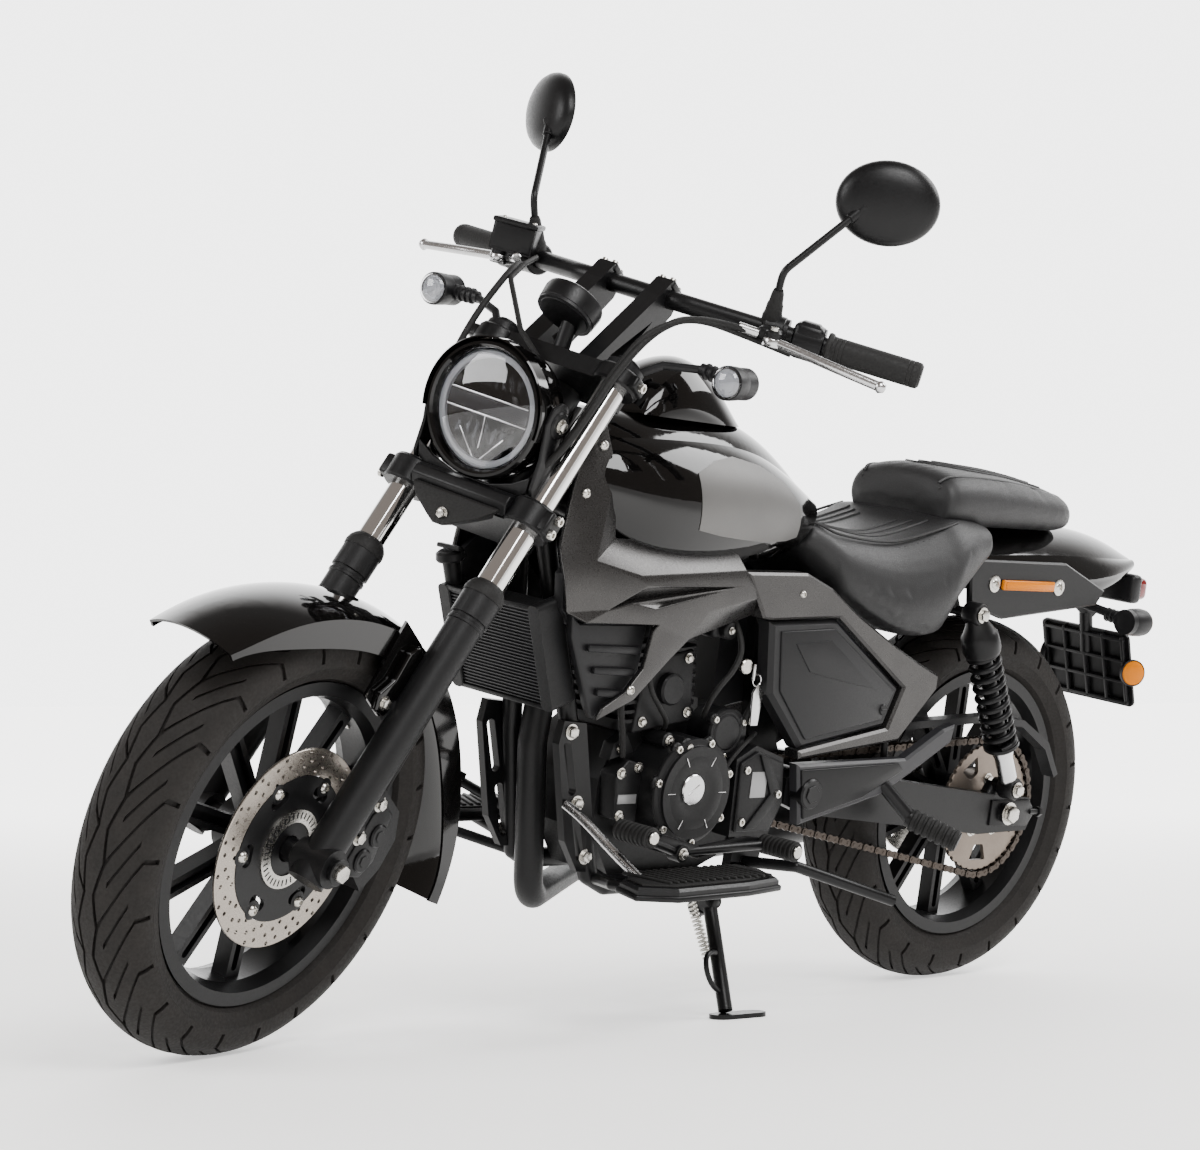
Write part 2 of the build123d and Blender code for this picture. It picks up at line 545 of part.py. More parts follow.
# Tank, console and seats are skinned through a few half sections: each row gives
# x, bottom half width and height, widest half width and height, shoulder half width and height, crown height
TANK = ((1008, 62, 762, 84, 800, 52, 872, 900), (930, 108, 724, 134, 790, 84, 886, 926),
        (800, 122, 716, 146, 785, 92, 888, 930), (640, 104, 724, 128, 780, 78, 868, 908),
        (548, 78, 742, 98, 775, 60, 832, 856),
        (486, 52, 768, 64, 782, 44, 806, 818))
CONSOLE = ((900, 60, 890, 64, 905, 50, 930, 938), (850, 70, 890, 76, 930, 56, 975, 988),
           (780, 70, 890, 74, 935, 48, 990, 1006), (700, 56, 880, 60, 910, 40, 938, 950),
           (640, 36, 880, 38, 895, 28, 902, 906))
RIDER_SEAT = ((552, 56, 744, 82, 764, 52, 788, 798), (470, 132, 668, 142, 705, 100, 762, 774),
              (370, 154, 622, 164, 690, 116, 760, 764), (270, 152, 616, 172, 715, 124, 786, 788),
              (210, 146, 676, 166, 740, 118, 792, 795), (130, 132, 742, 142, 765, 112, 792, 797))
PILLION_SEAT = ((228, 98, 800, 118, 832, 84, 866, 878), (60, 98, 782, 116, 826, 84, 866, 878),
                (-100, 82, 786, 98, 818, 66, 848, 858), (-164, 56, 786, 66, 806, 44, 826, 832))
TAIL = ((100, 102, 652, 106, 700, 96, 742, 782), (-60, 104, 656, 106, 700, 94, 748, 790),
        (-250, 88, 690, 90, 712, 74, 746, 786), (-385, 50, 728, 52, 734, 40, 742, 752))


def half_section(row):
    x, low_y, low_z, wide_y, wide_z, top_y, top_z, crown = row
    with BuildSketch(Plane.YZ.offset(x + FRAME_SHIFT)) as section:
        with BuildLine():
            Line((-low_y, low_z), (low_y, low_z))
            ThreePointArc((low_y, low_z), (wide_y, wide_z), (top_y, top_z))
            ThreePointArc((top_y, top_z), (0, crown), (-top_y, top_z))
            ThreePointArc((-top_y, top_z), (-wide_y, wide_z), (-low_y, low_z))
        make_face()
    return section.sketch


SEAT_JOINT = Plane(origin=at(530, 0, 770), x_dir=(0.55, 0, -0.83), z_dir=(0.83, 0, 0.55))
PART_LINE = Plane(origin=at(800, 0, 917), x_dir=(1, 0, 0.03), z_dir=(-0.03, 0, 1))
with BuildPart() as fuel_tank:
    loft([half_section(row) for row in TANK])
    with BuildSketch(SIDE):
        with BuildLine():
            Polyline((1120, 600), above_backbone(1120), above_backbone(560), (440, 690), (440, 600),
                     close=True)
        make_face()
    extrude(amount=48, both=True, mode=Mode.SUBTRACT)
    rod(on_fork(-YOKE_OFFSET, 0, LOWER_YOKE), on_fork(-YOKE_OFFSET, 0, UPPER_YOKE + 90), 40,
        mode=Mode.SUBTRACT)
    split(bisect_by=PART_LINE, keep=Keep.BOTTOM)
    split(bisect_by=SEAT_JOINT, keep=Keep.TOP)

with BuildPart() as tank_console:
    loft([half_section(row) for row in CONSOLE])
    split(bisect_by=PART_LINE, keep=Keep.TOP)

with BuildPart() as rider_seat:
    loft([half_section(row) for row in RIDER_SEAT])
    with BuildSketch(SIDE):
        with BuildLine():
            Polyline((620, 560), (620, 742), (500, 742), (90, 742), (90, 560), close=True)
        make_face()
    extrude(amount=118, both=True, mode=Mode.SUBTRACT)
    with Locations(at(80, 0, 849.5)):
        Box(300, 400, 100, mode=Mode.SUBTRACT)
    split(bisect_by=SEAT_JOINT.offset(-FIT), keep=Keep.BOTTOM)

with BuildPart() as rear_fender:
    loft([half_section(row) for row in TAIL])
    loft([half_section((x * 0.98 + 8, a - 4, b - 40, c - 4, d, e - 4, f - 4, g - 4)) for x, a, b, c, d, e,
          f, g in TAIL],
         mode=Mode.SUBTRACT)
    with BuildSketch(SIDE):
        with BuildLine():
            Polyline((200, 560), (200, 650), (60, 650), (-240, 690), (-400, 728), (-400, 560), close=True)
        make_face()
    extrude(amount=200, both=True, mode=Mode.SUBTRACT)

with BuildPart() as pillion_seat:
    loft([half_section(row) for row in PILLION_SEAT])
    split(bisect_by=Plane.XY.offset(790), keep=Keep.TOP)
    add(rear_fender.part, mode=Mode.SUBTRACT)
    with Locations(at(180, 0, 700)):
        Box(170, 400, 200, mode=Mode.SUBTRACT)

# Body panels drawn in side view: outline, inner face and thickness
SHROUD = ((1008, 940), (1030, 890), (1050, 800), (1076, 735), (1082, 668), (1074, 616), (992, 484),
          (935, 512), (889, 562),
          (815, 604), (681, 636), (728, 708), (938, 708), (1010, 748), (1012, 850), (990, 930))
SHROUD_POCKET = ((1040, 690), (890, 690), (770, 676), (830, 640), (1000, 640))
SIDE_COVER = ((656, 632), (506, 638), (336, 531), (362, 468), (555, 435), (640, 520))
FRAME_COVER = ((725, 706), (592, 708), (530, 686), (462, 646), (366, 600), (300, 572), (246, 552),
               (246, 528), (326, 446),
               (556, 420), (560, 433), (358, 466), (331, 531), (505, 641), (657, 635), (678, 637))
PIVOT_COVER = ((558, 412), (538, 316), (350, 358), (280, 392), (190, 440), (184, 470), (214, 462), (300, 416))
STRUT = ((160, 712), (150, 738), (-96, 738), (-216, 694), (-196, 668), (60, 640), (150, 662))


def panel(outline, inner, outer, bevel):
    with BuildPart() as built:
        with BuildSketch(SIDE.offset(-inner)):
            with BuildLine():
                Polyline(*outline, close=True)
            make_face()
        extrude(amount=-(outer - inner))
        rim = built.faces().sort_by(Axis.Y)[-1].edges()
        chamfer(rim, bevel)
    return built.part


with BuildPart() as shrouds:
    add(panel(SHROUD, 68, 150, 8))
    with BuildSketch(Plane.YZ.offset(600 + FRAME_SHIFT)):
        with BuildLine():
            Polyline((HORN_HALF, 1000), (HORN_HALF, 840), (150, 720), (200, 720), (200, 1000), close=True)
        make_face()
        with BuildLine():
            Polyline((0, 400), (0, 790), (70, 790), (114, 716), (114, 400), close=True)
        make_face()
    extrude(amount=600, mode=Mode.SUBTRACT)
    with BuildSketch(SIDE.offset(-150)):
        with BuildLine():
            Polyline(*SHROUD_POCKET, close=True)
        make_face()
    extrude(amount=18, mode=Mode.SUBTRACT)
    rod(at(987, 52, 545), at(987, 116, 545), 9)
    add(main_frame.part, mode=Mode.SUBTRACT)
    mirror(about=Plane.XZ)

with BuildPart() as side_covers:
    add(panel(SIDE_COVER, 118, 146, 7))
    rod(at(570, 66, 560), at(570, 120, 560), 9)
    mirror(about=Plane.XZ)

with BuildPart() as frame_covers:
    add(panel(FRAME_COVER, 119, 150, 4))
    rod(at(596, 66, 672), at(596, 121, 672), 9)
    mirror(about=Plane.XZ)

with BuildPart() as pivot_covers:
    add(panel(PIVOT_COVER, 131, 150, 4))
    mirror(about=Plane.XZ)

with BuildPart() as fender_struts:
    add(panel(STRUT, 107.5, 118, 3))
    rod(at(122, 76, 713), at(122, 110, 713), 8)
    add(main_frame.part, mode=Mode.SUBTRACT)
    mirror(about=Plane.XZ)

# Engine
with BuildPart() as crankcase:
    with BuildSketch(SIDE):
        with BuildLine():
            Polyline((594, 300), (622, 252), (720, 214), (850, 230), (896, 300), (896, 380), (868, 450),
                     (700, 470),
                     (610, 440), close=True)
        make_face()
    extrude(amount=63, both=True)
    rod(Vector(FRONT_SPROCKET_X, 60, PIVOT_Z), Vector(FRONT_SPROCKET_X, SPROCKET_Y + 5, PIVOT_Z),
        FRONT_SPROCKET_RADIUS)
    for y in (54, -54):
        rod(at(610, y, 310), at(572, y, 310), 13)
    add(main_frame.part, mode=Mode.SUBTRACT)

CYLINDER = Plane(origin=at(800, 0, 440), x_dir=(1, 0, -0.1), z_dir=(0.1, 0, 1))
with BuildPart() as cylinder:
    with BuildSketch(CYLINDER.offset(12)):
        RectangleRounded(128, 128, 20)
    extrude(amount=190)
    for level in range(9):
        with BuildSketch(CYLINDER.offset(34 + 14 * level)):
            RectangleRounded(160, 164, 18)
        extrude(amount=5)
    with BuildSketch(SIDE):
        with BuildLine():
            Polyline((868, 450), (700, 470), (640, 300), (900, 300), close=True)
        make_face()
    extrude(amount=90, both=True, mode=Mode.SUBTRACT)

with BuildPart() as engine_covers:
    rod(at(765, 63, 372), at(765, 128, 372), 80)
    rod(at(765, 120, 372), at(765, 140, 372), 70)
    rod(at(686, 63, 456), at(686, 116, 456), 37)
    with BuildSketch(SIDE.offset(-98)):
        with BuildLine():
            Polyline((676, 300), (680, 420), (640, 440), (576, 420), (566, 350), (590, 300), close=True)
        make_face()
    extrude(amount=-36)
    rod(at(765, -63, 360), at(765, -126, 360), 96)
    rod(at(765, 30, 372), at(765, 63, 372), 100, mode=Mode.SUBTRACT)

RADIATOR = Plane(origin=at(1056, 0, 572), x_dir=(0, 1, 0), z_dir=(0.94, 0, -0.34))
with BuildPart() as radiator:
    with BuildSketch(RADIATOR):
        Rectangle(184, 150)
    extrude(amount=16, both=True)
    for x in (-98, 98):
        with BuildSketch(RADIATOR):
            with Locations((x, 0)):
                RectangleRounded(22, 160, 8)
        extrude(amount=22, both=True)
        rod(at(1058, x * 0.45, 600), at(1000, x * 0.45, 600), 8)
    add(main_frame.part, mode=Mode.SUBTRACT)

with BuildPart() as airbox:
    with Locations(at(560, 0, 562)):
        Box(200, 95.6, 140)

HEADER = (at(874, -20, 622), at(944, -22, 606), at(956, -24, 420), at(918, -32, 180), at(700, -170, 180),
          at(530, -205, 200))
with BuildPart() as exhaust_header:
    with BuildLine() as header_line:
        FilletPolyline(*HEADER, radius=42)
    with BuildSketch(Plane(origin=HEADER[0], z_dir=HEADER[1] - HEADER[0])):
        Circle(22)
    sweep(path=header_line.line)
    add(cylinder.part, mode=Mode.SUBTRACT)

with BuildPart() as muffler:
    reach = (HEADER[-1] - HEADER[-2]).normalized()
    throat = HEADER[-1] + reach * 90
    outlet = at(-170, -214, 256)
    rod(HEADER[-1], throat, 34)
    rod(throat, outlet, 48)
    rod(outlet, outlet + Vector(-26, 0, 2), 38)

# Swingarm, chain and shocks
with BuildPart() as swingarm:
    for y in (1, -1):
        with BuildSketch(REAR_VIEW.offset(-y * ARM_INNER)):
            with BuildLine():
                Polyline((PIVOT_X + 32, PIVOT_Z - 20), (PIVOT_X + 32, PIVOT_Z + 20),
                         (PIVOT_X - 20, PIVOT_Z + 36),
                         (60, REAR_TYRE_RADIUS + 34), (-70, REAR_TYRE_RADIUS + 22),
                         (-84, REAR_TYRE_RADIUS - 8),
                         (-70, REAR_TYRE_RADIUS - 34), (60, REAR_TYRE_RADIUS - 36),
                         (PIVOT_X - 20, PIVOT_Z - 38), close=True)
            make_face()
        extrude(amount=-y * (ARM_OUTER - ARM_INNER))
        rod(Vector(18, y * ARM_OUTER, 360), Vector(18, y * (SHOCK_Y + 18), 360), 8)
        rod(Vector(18, y * (ARM_OUTER - 10), 360), Vector(18, y * (SHOCK_Y - 16), 360), 13)
        rod(Vector(30, y * (ARM_OUTER - 14), 340), Vector(18, y * (ARM_OUTER - 14), 360), 13)
    rod(Vector(PIVOT_X, -ARM_OUTER - 2, PIVOT_Z), Vector(PIVOT_X, ARM_OUTER + 2, PIVOT_Z), PIVOT_TUBE)
    rod(at(400, -ARM_INNER - 4, 352), at(400, ARM_INNER + 4, 352), 22)
    rod(REAR_AXLE - Vector(0, 200, 0), REAR_AXLE + Vector(0, 200, 0), AXLE_RADIUS + FIT, mode=Mode.SUBTRACT)

with BuildPart() as rear_axle:
    rod(REAR_AXLE - Vector(0, ARM_OUTER + 12, 0), REAR_AXLE + Vector(0, ARM_OUTER + 12, 0), AXLE_RADIUS)
    rod(REAR_AXLE + Vector(0, HUB_HALF + 5, 0), REAR_AXLE + Vector(0, ARM_INNER, 0), 18)
    rod(REAR_AXLE - Vector(0, HUB_HALF + 1, 0), REAR_AXLE - Vector(0, ARM_INNER, 0), 18)
    for y in (1, -1):
        rod(REAR_AXLE + Vector(0, y * ARM_OUTER, 0), REAR_AXLE + Vector(0, y * (ARM_OUTER + 14), 0), 17)
    rod(REAR_AXLE - Vector(0, 200, 0), REAR_AXLE + Vector(0, 200, 0), 5, mode=Mode.SUBTRACT)

with BuildPart() as chain:
    for rear, front, mode in ((SPROCKET_RADIUS + 1 + CHAIN_HEIGHT,
                               FRONT_SPROCKET_RADIUS + FIT + CHAIN_HEIGHT, Mode.ADD),
                              (SPROCKET_RADIUS + 1, FRONT_SPROCKET_RADIUS + FIT, Mode.SUBTRACT)):
        with BuildSketch(REAR_VIEW.offset(-SPROCKET_Y)):
            with Locations((0, REAR_TYRE_RADIUS)):
                Circle(rear)
            with Locations((FRONT_SPROCKET_X, PIVOT_Z)):
                Circle(front)
            make_hull()
        extrude(amount=CHAIN_WIDTH / 2, both=True, mode=mode)

with BuildPart() as chain_guard:
    with BuildSketch(REAR_VIEW.offset(-SPROCKET_Y)):
        with BuildLine():
            Polyline((430, 454), (430, 444), (300, 450), (30, 462), (-64, 452), (-136, 412), (-172, 362),
                     (-182, 368),
                     (-144, 424), (-66, 464), (30, 474), (300, 462), close=True)
        make_face()
    extrude(amount=13, both=True)
    rod(Vector(300, SPROCKET_Y + 12, 456), Vector(300, ARM_INNER + 8, 370), 6)
    add(swingarm.part, mode=Mode.SUBTRACT)

SHOCK_TOP = at(177, SHOCK_Y, 653)
SHOCK_LOW = Vector(18, SHOCK_Y, 360)
SHOCK_RUN = (SHOCK_TOP - SHOCK_LOW).normalized()
SHOCK_LENGTH = (SHOCK_TOP - SHOCK_LOW).length
with BuildPart() as shock_dampers:
    rod(SHOCK_LOW, SHOCK_LOW + SHOCK_RUN * 170, 8)
    rod(SHOCK_LOW + SHOCK_RUN * 24, SHOCK_LOW + SHOCK_RUN * 34, 28)
    rod(SHOCK_LOW + SHOCK_RUN * 150, SHOCK_TOP, 17)
    rod(SHOCK_TOP - SHOCK_RUN * 40, SHOCK_TOP - SHOCK_RUN * 22, 28)
    for eye in (SHOCK_TOP, SHOCK_LOW):
        rod(eye - Vector(0, 14, 0), eye + Vector(0, 14, 0), 17)
        rod(eye - Vector(0, 30, 0), eye + Vector(0, 30, 0), 8 + FIT, mode=Mode.SUBTRACT)
    mirror(about=Plane.XZ)

SPRING_TURNS = 11
with BuildPart() as shock_springs:
    spring_length = SHOCK_LENGTH - 34 - 40 - 11
    with BuildLine() as coil:
        Helix(spring_length / SPRING_TURNS, spring_length, 23, center=SHOCK_LOW + SHOCK_RUN * 39.5,
              direction=SHOCK_RUN)
    with BuildSketch(Plane(origin=coil.line @ 0, z_dir=coil.line % 0)):
        Circle(5)
    sweep(path=coil.line, is_frenet=True)
    mirror(about=Plane.XZ)

# Rear furniture
with BuildPart() as tail_light:
    with Locations(at(-405, 0, 690)):
        Box(56, 120, 46)
    rod(at(-352, 0, 742), at(-388, 0, 695), 16)
    add(rear_fender.part, mode=Mode.SUBTRACT)

with BuildPart() as plate_bracket:
    rod(at(-200, 0, 780.5), at(-236, 0, 690), 16)
    rod(at(-228, 0, 704), at(-345, 0, 640), 14)
    with BuildSketch(Plane(origin=at(-360, 0, 548), x_dir=(0, 1, 0), z_dir=(-0.936, 0, 0.352))):
        RectangleRounded(190, 140, 10)
    extrude(amount=5)
    rod(at(-330, 0, 650), at(-352, 0, 570), 12)
    add(rear_fender.part, mode=Mode.SUBTRACT)

with BuildPart() as rear_signals:
    rod(at(-250, 0, 668), at(-274, 120, 648), 8)
    rod(at(-274, 92, 650), at(-274, 128, 646), 10)
    rod(at(-250, 142, 644), at(-304, 142, 644), 22)
    add(plate_bracket.part, mode=Mode.SUBTRACT)
    mirror(about=Plane.XZ)

# Foot controls and stand
with BuildPart() as footboards:
    with BuildSketch(Plane(origin=at(0, 0, 260))):
        with BuildLine():
            Polyline((722, 196), (704, 232), (722, 286), (800, 300), (950, 306), (1010, 282), (1000, 236),
                     (950, 204), close=True)
        make_face()
    extrude(amount=16)
    chamfer(faces().sort_by(Axis.Z)[-1].edges(), 4)
    tube_run([at(860, 88, 228), at(862, 190, 250), at(862, 240, 258)], 9)
    tube_run([at(900, 84, 236), at(975, 196, 258), at(975, 240, 264)], 8)
    add(main_frame.part, mode=Mode.SUBTRACT)
    mirror(about=Plane.XZ)

with BuildPart() as foot_pedals:
    rod(at(838, 60, 296), at(838, 190, 296), 8)
    rod(at(838, 175, 296), at(838, 197, 296), 13)
    rod(at(838, 186, 296), at(972, 202, 338), 7)
    rod(at(838, 186, 296), at(664, 202, 304), 7)
    rod(at(972, 192, 338), at(972, 262, 340), 12)
    rod(at(664, 192, 304), at(664, 262, 306), 12)
    rod(at(838, 0, 296), at(838, 63, 296), 12, mode=Mode.SUBTRACT)
    rod(at(838, -63, 280), at(838, -196, 280), 9)
    rod(at(838, -178, 280), at(838, -200, 280), 14)
    rod(at(838, -189, 280), at(956, -203, 334), 8)
    with Locations(Plane(origin=at(962, -220, 342), z_dir=(-0.4, 0, 1)).location):
        Box(60, 70, 12)

with BuildPart() as pillion_pegs:
    rod(at(346, 144, 376), at(302, 178, 324), 11)
    rod(at(304, 172, 326), at(262, 246, 300), 15)
    add(pivot_covers.part, mode=Mode.SUBTRACT)
    mirror(about=Plane.XZ)
    tube_run([at(560, 60, 240), at(531, 150, 251), at(352, 204, 200)], 9)
    add(main_frame.part, mode=Mode.SUBTRACT)

with BuildPart() as side_stand:
    rod(STAND_PIVOT, STAND_ANKLE, 11)
    rod(STAND_PIVOT - STAND_AXIS * 10, STAND_PIVOT + STAND_AXIS * 10, 16)
    with BuildSketch(FLOOR):
        with Locations((STAND_FOOT_X - 22, STAND_FOOT_Y + 4)):
            SlotOverall(96, 42, rotation=-10)
    extrude(amount=7)
    rod(STAND_PIVOT - STAND_AXIS * 40, STAND_PIVOT + STAND_AXIS * 40, 6 + FIT, mode=Mode.SUBTRACT)

# Hand out: steer, lean and set down, with the origin under the middle of the whole
CHASSIS = {
    "main_frame": main_frame.part, "crankcase": crankcase.part, "cylinder": cylinder.part,
    "engine_covers": engine_covers.part, "radiator": radiator.part, "airbox": airbox.part,
    "fuel_tank": fuel_tank.part, "tank_console": tank_console.part, "rider_seat": rider_seat.part,
    "pillion_seat": pillion_seat.part, "shrouds": shrouds.part, "side_covers": side_covers.part,
    "frame_covers": frame_covers.part, "pivot_covers": pivot_covers.part, "rear_fender": rear_fender.part,
    "fender_struts": fender_struts.part, "swingarm": swingarm.part, "rear_axle": rear_axle.part,
    "chain": chain.part,
    "chain_guard": chain_guard.part, "shock_dampers": shock_dampers.part, "shock_springs": shock_springs.part,
    "tail_light": tail_light.part, "plate_bracket": plate_bracket.part, "rear_signals": rear_signals.part,
    "exhaust_header": exhaust_header.part, "muffler": muffler.part, "footboards": footboards.part,
    "foot_pedals": foot_pedals.part, "pillion_pegs": pillion_pegs.part,
    "rear_tyre": rear_tyre, "rear_wheel": rear_wheel, "sprocket": sprocket.part, "rear_disc": rear_disc.part,
    "side_stand": side_stand.part,
}
STEERED = {
    "triple_clamps": triple_clamps.part, "fork_tubes": fork_tubes.part, "fork_sliders": fork_sliders.part,
    "front_axle": front_axle.part, "front_fender": front_fender.part, "front_caliper": front_caliper.part,
    "brake_hose": brake_hose.part, "headlight_shell": headlight_shell.part,
    "headlight_lens": headlight_lens.part,
    "headlight_bracket": headlight_bracket.part, "bar_risers": bar_risers.part, "handlebar": handlebar.part,
    "grips": grips.part, "bar_controls": bar_controls.part, "levers": levers.part, "mirrors": mirrors.part,
    "front_signals": front_signals.part, "instrument": instrument.part, "front_tyre": front_tyre,
    "front_wheel": front_wheel, "front_disc": front_disc.part, "disc_carrier": disc_carrier.part,
}
placed = {name: parked * piece for name, piece in CHASSIS.items()}
placed.update({name: parked * steered * piece for name, piece in STEERED.items()})
whole = Compound(children=[Compound(piece.wrapped) for piece in placed.values()]).bounding_box()
centring = Pos(-whole.center().X, -whole.center().Y, -whole.min.Z)
for name, piece in placed.items():
    save(centring * piece, name)

# Joint seats: place of each pivot and the direction of its axis
for joint, place, seat, axis in (("steering", parked, HEAD, STEM.z_dir),
                                 ("front_wheel", parked * steered, FRONT_AXLE, Vector(0, 1, 0)),
                                 ("rear_wheel", parked, REAR_AXLE, Vector(0, 1, 0)),
                                 ("side_stand", parked, STAND_PIVOT, STAND_AXIS)):
    point = (centring * place * Pos(*seat)).position
    end = (centring * place * Pos(*(seat + axis * 1000))).position
    print("joint", joint, *point, *((end - point) / 1000))
print("box", *whole.size, "origin", whole.center().X, whole.center().Y, whole.min.Z, "pitch", pitch, "lift",
      lift)
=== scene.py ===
# Cruiser motorcycle: finishes, fine pieces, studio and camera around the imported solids.
import json
from math import asin, atan2, cos, hypot, pi, radians, sin, sqrt

import bpy
from mathutils import Matrix, Vector


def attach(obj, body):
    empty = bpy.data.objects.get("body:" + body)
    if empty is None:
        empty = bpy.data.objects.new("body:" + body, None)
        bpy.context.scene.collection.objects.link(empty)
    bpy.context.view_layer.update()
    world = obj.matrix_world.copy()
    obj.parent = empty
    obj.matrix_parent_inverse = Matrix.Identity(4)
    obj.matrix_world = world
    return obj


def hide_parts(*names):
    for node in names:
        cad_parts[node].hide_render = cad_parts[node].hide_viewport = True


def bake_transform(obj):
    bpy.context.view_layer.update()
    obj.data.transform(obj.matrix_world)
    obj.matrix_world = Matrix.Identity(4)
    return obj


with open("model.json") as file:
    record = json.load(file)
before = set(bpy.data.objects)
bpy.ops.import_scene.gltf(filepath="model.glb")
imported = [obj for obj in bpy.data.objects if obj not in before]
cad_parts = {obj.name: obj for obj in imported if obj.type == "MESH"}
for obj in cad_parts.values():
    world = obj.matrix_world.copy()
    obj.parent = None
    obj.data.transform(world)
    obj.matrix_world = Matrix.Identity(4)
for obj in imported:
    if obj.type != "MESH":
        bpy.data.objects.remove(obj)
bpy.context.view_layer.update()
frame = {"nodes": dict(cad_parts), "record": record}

METRE = 1000  # in millimetres
ORIGIN, AHEAD, LEFT, UP = (0, 0, 0), (1, 0, 0), (0, 1, 0), (0, 0, 1)


def axes(x_way, y_way, z_way):
    """The turn that lays a drawing's x, y and z along these three ways."""
    return Matrix((x_way, y_way, z_way)).transposed().to_4x4()


def tilt(degrees, axis):
    return Matrix.Rotation(radians(degrees), 4, axis)


# Pieces are drawn in millimetres, upright and steered straight, rear axle over x = 0, as the solids were.
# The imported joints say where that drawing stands: leaned on its stand with the front turned left.
RAKE = radians(33.0)
PARKED_STEER = radians(16.0)
YOKE_OFFSET = 52.0
FRONT_AXLE = Vector((1475.0, 0, 312.0))
REAR_AXLE = Vector((0, 0, 314.0))
FORK_X = Vector((cos(RAKE), 0, sin(RAKE)))
FORK_Z = Vector((-sin(RAKE), 0, cos(RAKE)))
STEM_FOOT = FRONT_AXLE - FORK_X * YOKE_OFFSET
JOINTS = {joint["name"]: joint for joint in frame["record"]["behaviour"]["joints"]}
LEFTWARD = Vector(JOINTS["rear_wheel_spin"]["axis"]).normalized()
STEM_WAY = Vector(JOINTS["steering"]["axis"]).normalized()
FORK_WAY = LEFTWARD.cross(STEM_WAY)
FORWARD = FORK_WAY * cos(RAKE) - STEM_WAY * sin(RAKE)
UPWARD = FORK_WAY * sin(RAKE) + STEM_WAY * cos(RAKE)
CHASSIS = (Matrix.Translation(JOINTS["rear_wheel_spin"]["pos_m"]) @ axes(FORWARD, LEFTWARD, UPWARD)
           @ Matrix.Scale(1 / METRE, 4) @ Matrix.Translation(-REAR_AXLE))
STEERED = (CHASSIS @ Matrix.Translation(STEM_FOOT) @ Matrix.Rotation(PARKED_STEER, 4, FORK_Z)
           @ Matrix.Translation(-STEM_FOOT))
INTO_DRAWING = CHASSIS.inverted()
PLACES = {"chassis": CHASSIS, "rear_wheel": CHASSIS, "side_stand": CHASSIS,
          "steering": STEERED, "front_wheel": STEERED}


def on_fork(u, v, w):
    """A point by its distances ahead of, left of and up the fork from the front axle."""
    return FRONT_AXLE + FORK_X * u + Vector((0, v, 0)) + FORK_Z * w


# Finishes
def linear(code):
    """An sRGB hex colour as the linear RGBA that the shader takes."""
    parts = [int(code[i:i + 2], 16) / 255 for i in (1, 3, 5)]
    return [p / 12.92 if p <= 0.04045 else ((p + 0.055) / 1.055) ** 2.4 for p in parts] + [1.0]


def add_node(tree, kind, inputs=(), **settings):
    made = tree.nodes.new(kind)
    for key, value in settings.items():
        setattr(made, key, value)
    for socket, value in inputs:
        if isinstance(value, bpy.types.NodeSocket):
            tree.links.new(value, made.inputs[socket])
        else:
            made.inputs[socket].default_value = value
    return made


def bare(name, **sockets):
    """A material with one shader whose fixed values are set on its own sockets."""
    material = bpy.data.materials.new(name)
    material.use_nodes = True
    shader = material.node_tree.nodes["Principled BSDF"]
    for key, value in sockets.items():
        shader.inputs[key.replace("_", " ")].default_value = value
    return material, material.node_tree, shader


def covered(name, light, dark, patch_mm, relief, gloss, bump, sockets):
    """A surface whose relief drives its height and gloss, while a slow noise drifts between two colours."""
    material, tree, shader = bare(name, **sockets)
    place = add_node(tree, "ShaderNodeTexCoord").outputs["Object"]
    kind, output, inputs, settings = relief
    height = add_node(tree, kind, (("Vector", place), *inputs), **settings).outputs[output]
    patch = add_node(tree, "ShaderNodeTexNoise", (("Vector", place), ("Scale", METRE / patch_mm), ("Detail", 4.0)))
    colour = add_node(tree, "ShaderNodeMix", ((0, patch.outputs["Fac"]), (6, linear(dark)), (7, linear(light))),
                      data_type="RGBA")
    rough = add_node(tree, "ShaderNodeMapRange", (("Value", height), *gloss))
    normal = add_node(tree, "ShaderNodeBump", (("Height", height), ("Strength", bump[0]), ("Distance", bump[1])))
    tree.links.new(colour.outputs[2], shader.inputs["Base Color"])
    tree.links.new(rough.outputs["Result"], shader.inputs["Roughness"])
    tree.links.new(normal.outputs["Normal"], shader.inputs["Normal"])
    return material


NOISE_SPAN = (("From Min", 0.3), ("From Max", 0.7))  # where most of a noise lies


def coated(name, light, dark, grain_mm, rough, depth, patch_mm=60, **sockets):
    """A coat over metal or plastic with a fine grain, its roughness range and depth in millimetres given."""
    relief = ("ShaderNodeTexNoise", "Fac", (("Scale", METRE / grain_mm), ("Detail", 3.0)), {})
    gloss = (*NOISE_SPAN, ("To Min", rough[0]), ("To Max", rough[1]))
    return covered(name, light, dark, patch_mm, relief, gloss, (0.6, depth / METRE), sockets)


# Enamel flows out smooth under a clear coat, so only a long faint ripple shows in its reflections
GLOSS_BLACK = coated("gloss_black_enamel", "#060505", "#030303", 30, (0.04, 0.08), 0.02, Specular_IOR_Level=0.42)
# Aluminium flake in a satin binder: the flake is drawn at 2 mm so that it shows at this distance
GRAPHITE = coated("graphite_metallic_paint", "#484746", "#3a3939", 2, (0.24, 0.36), 0.03, Metallic=0.85)
# Powder coat melts to a fine orange peel
SATIN_BLACK = coated("satin_black_powder_coat", "#0f0f10", "#080809", 3, (0.30, 0.44), 0.06, Specular_IOR_Level=0.22)
# Sand-cast aluminium under matte black paint keeps the grain of the sand
MATTE_BLACK = coated("matte_black_casting", "#131314", "#0b0b0c", 3, (0.38, 0.56), 0.14, Specular_IOR_Level=0.24)
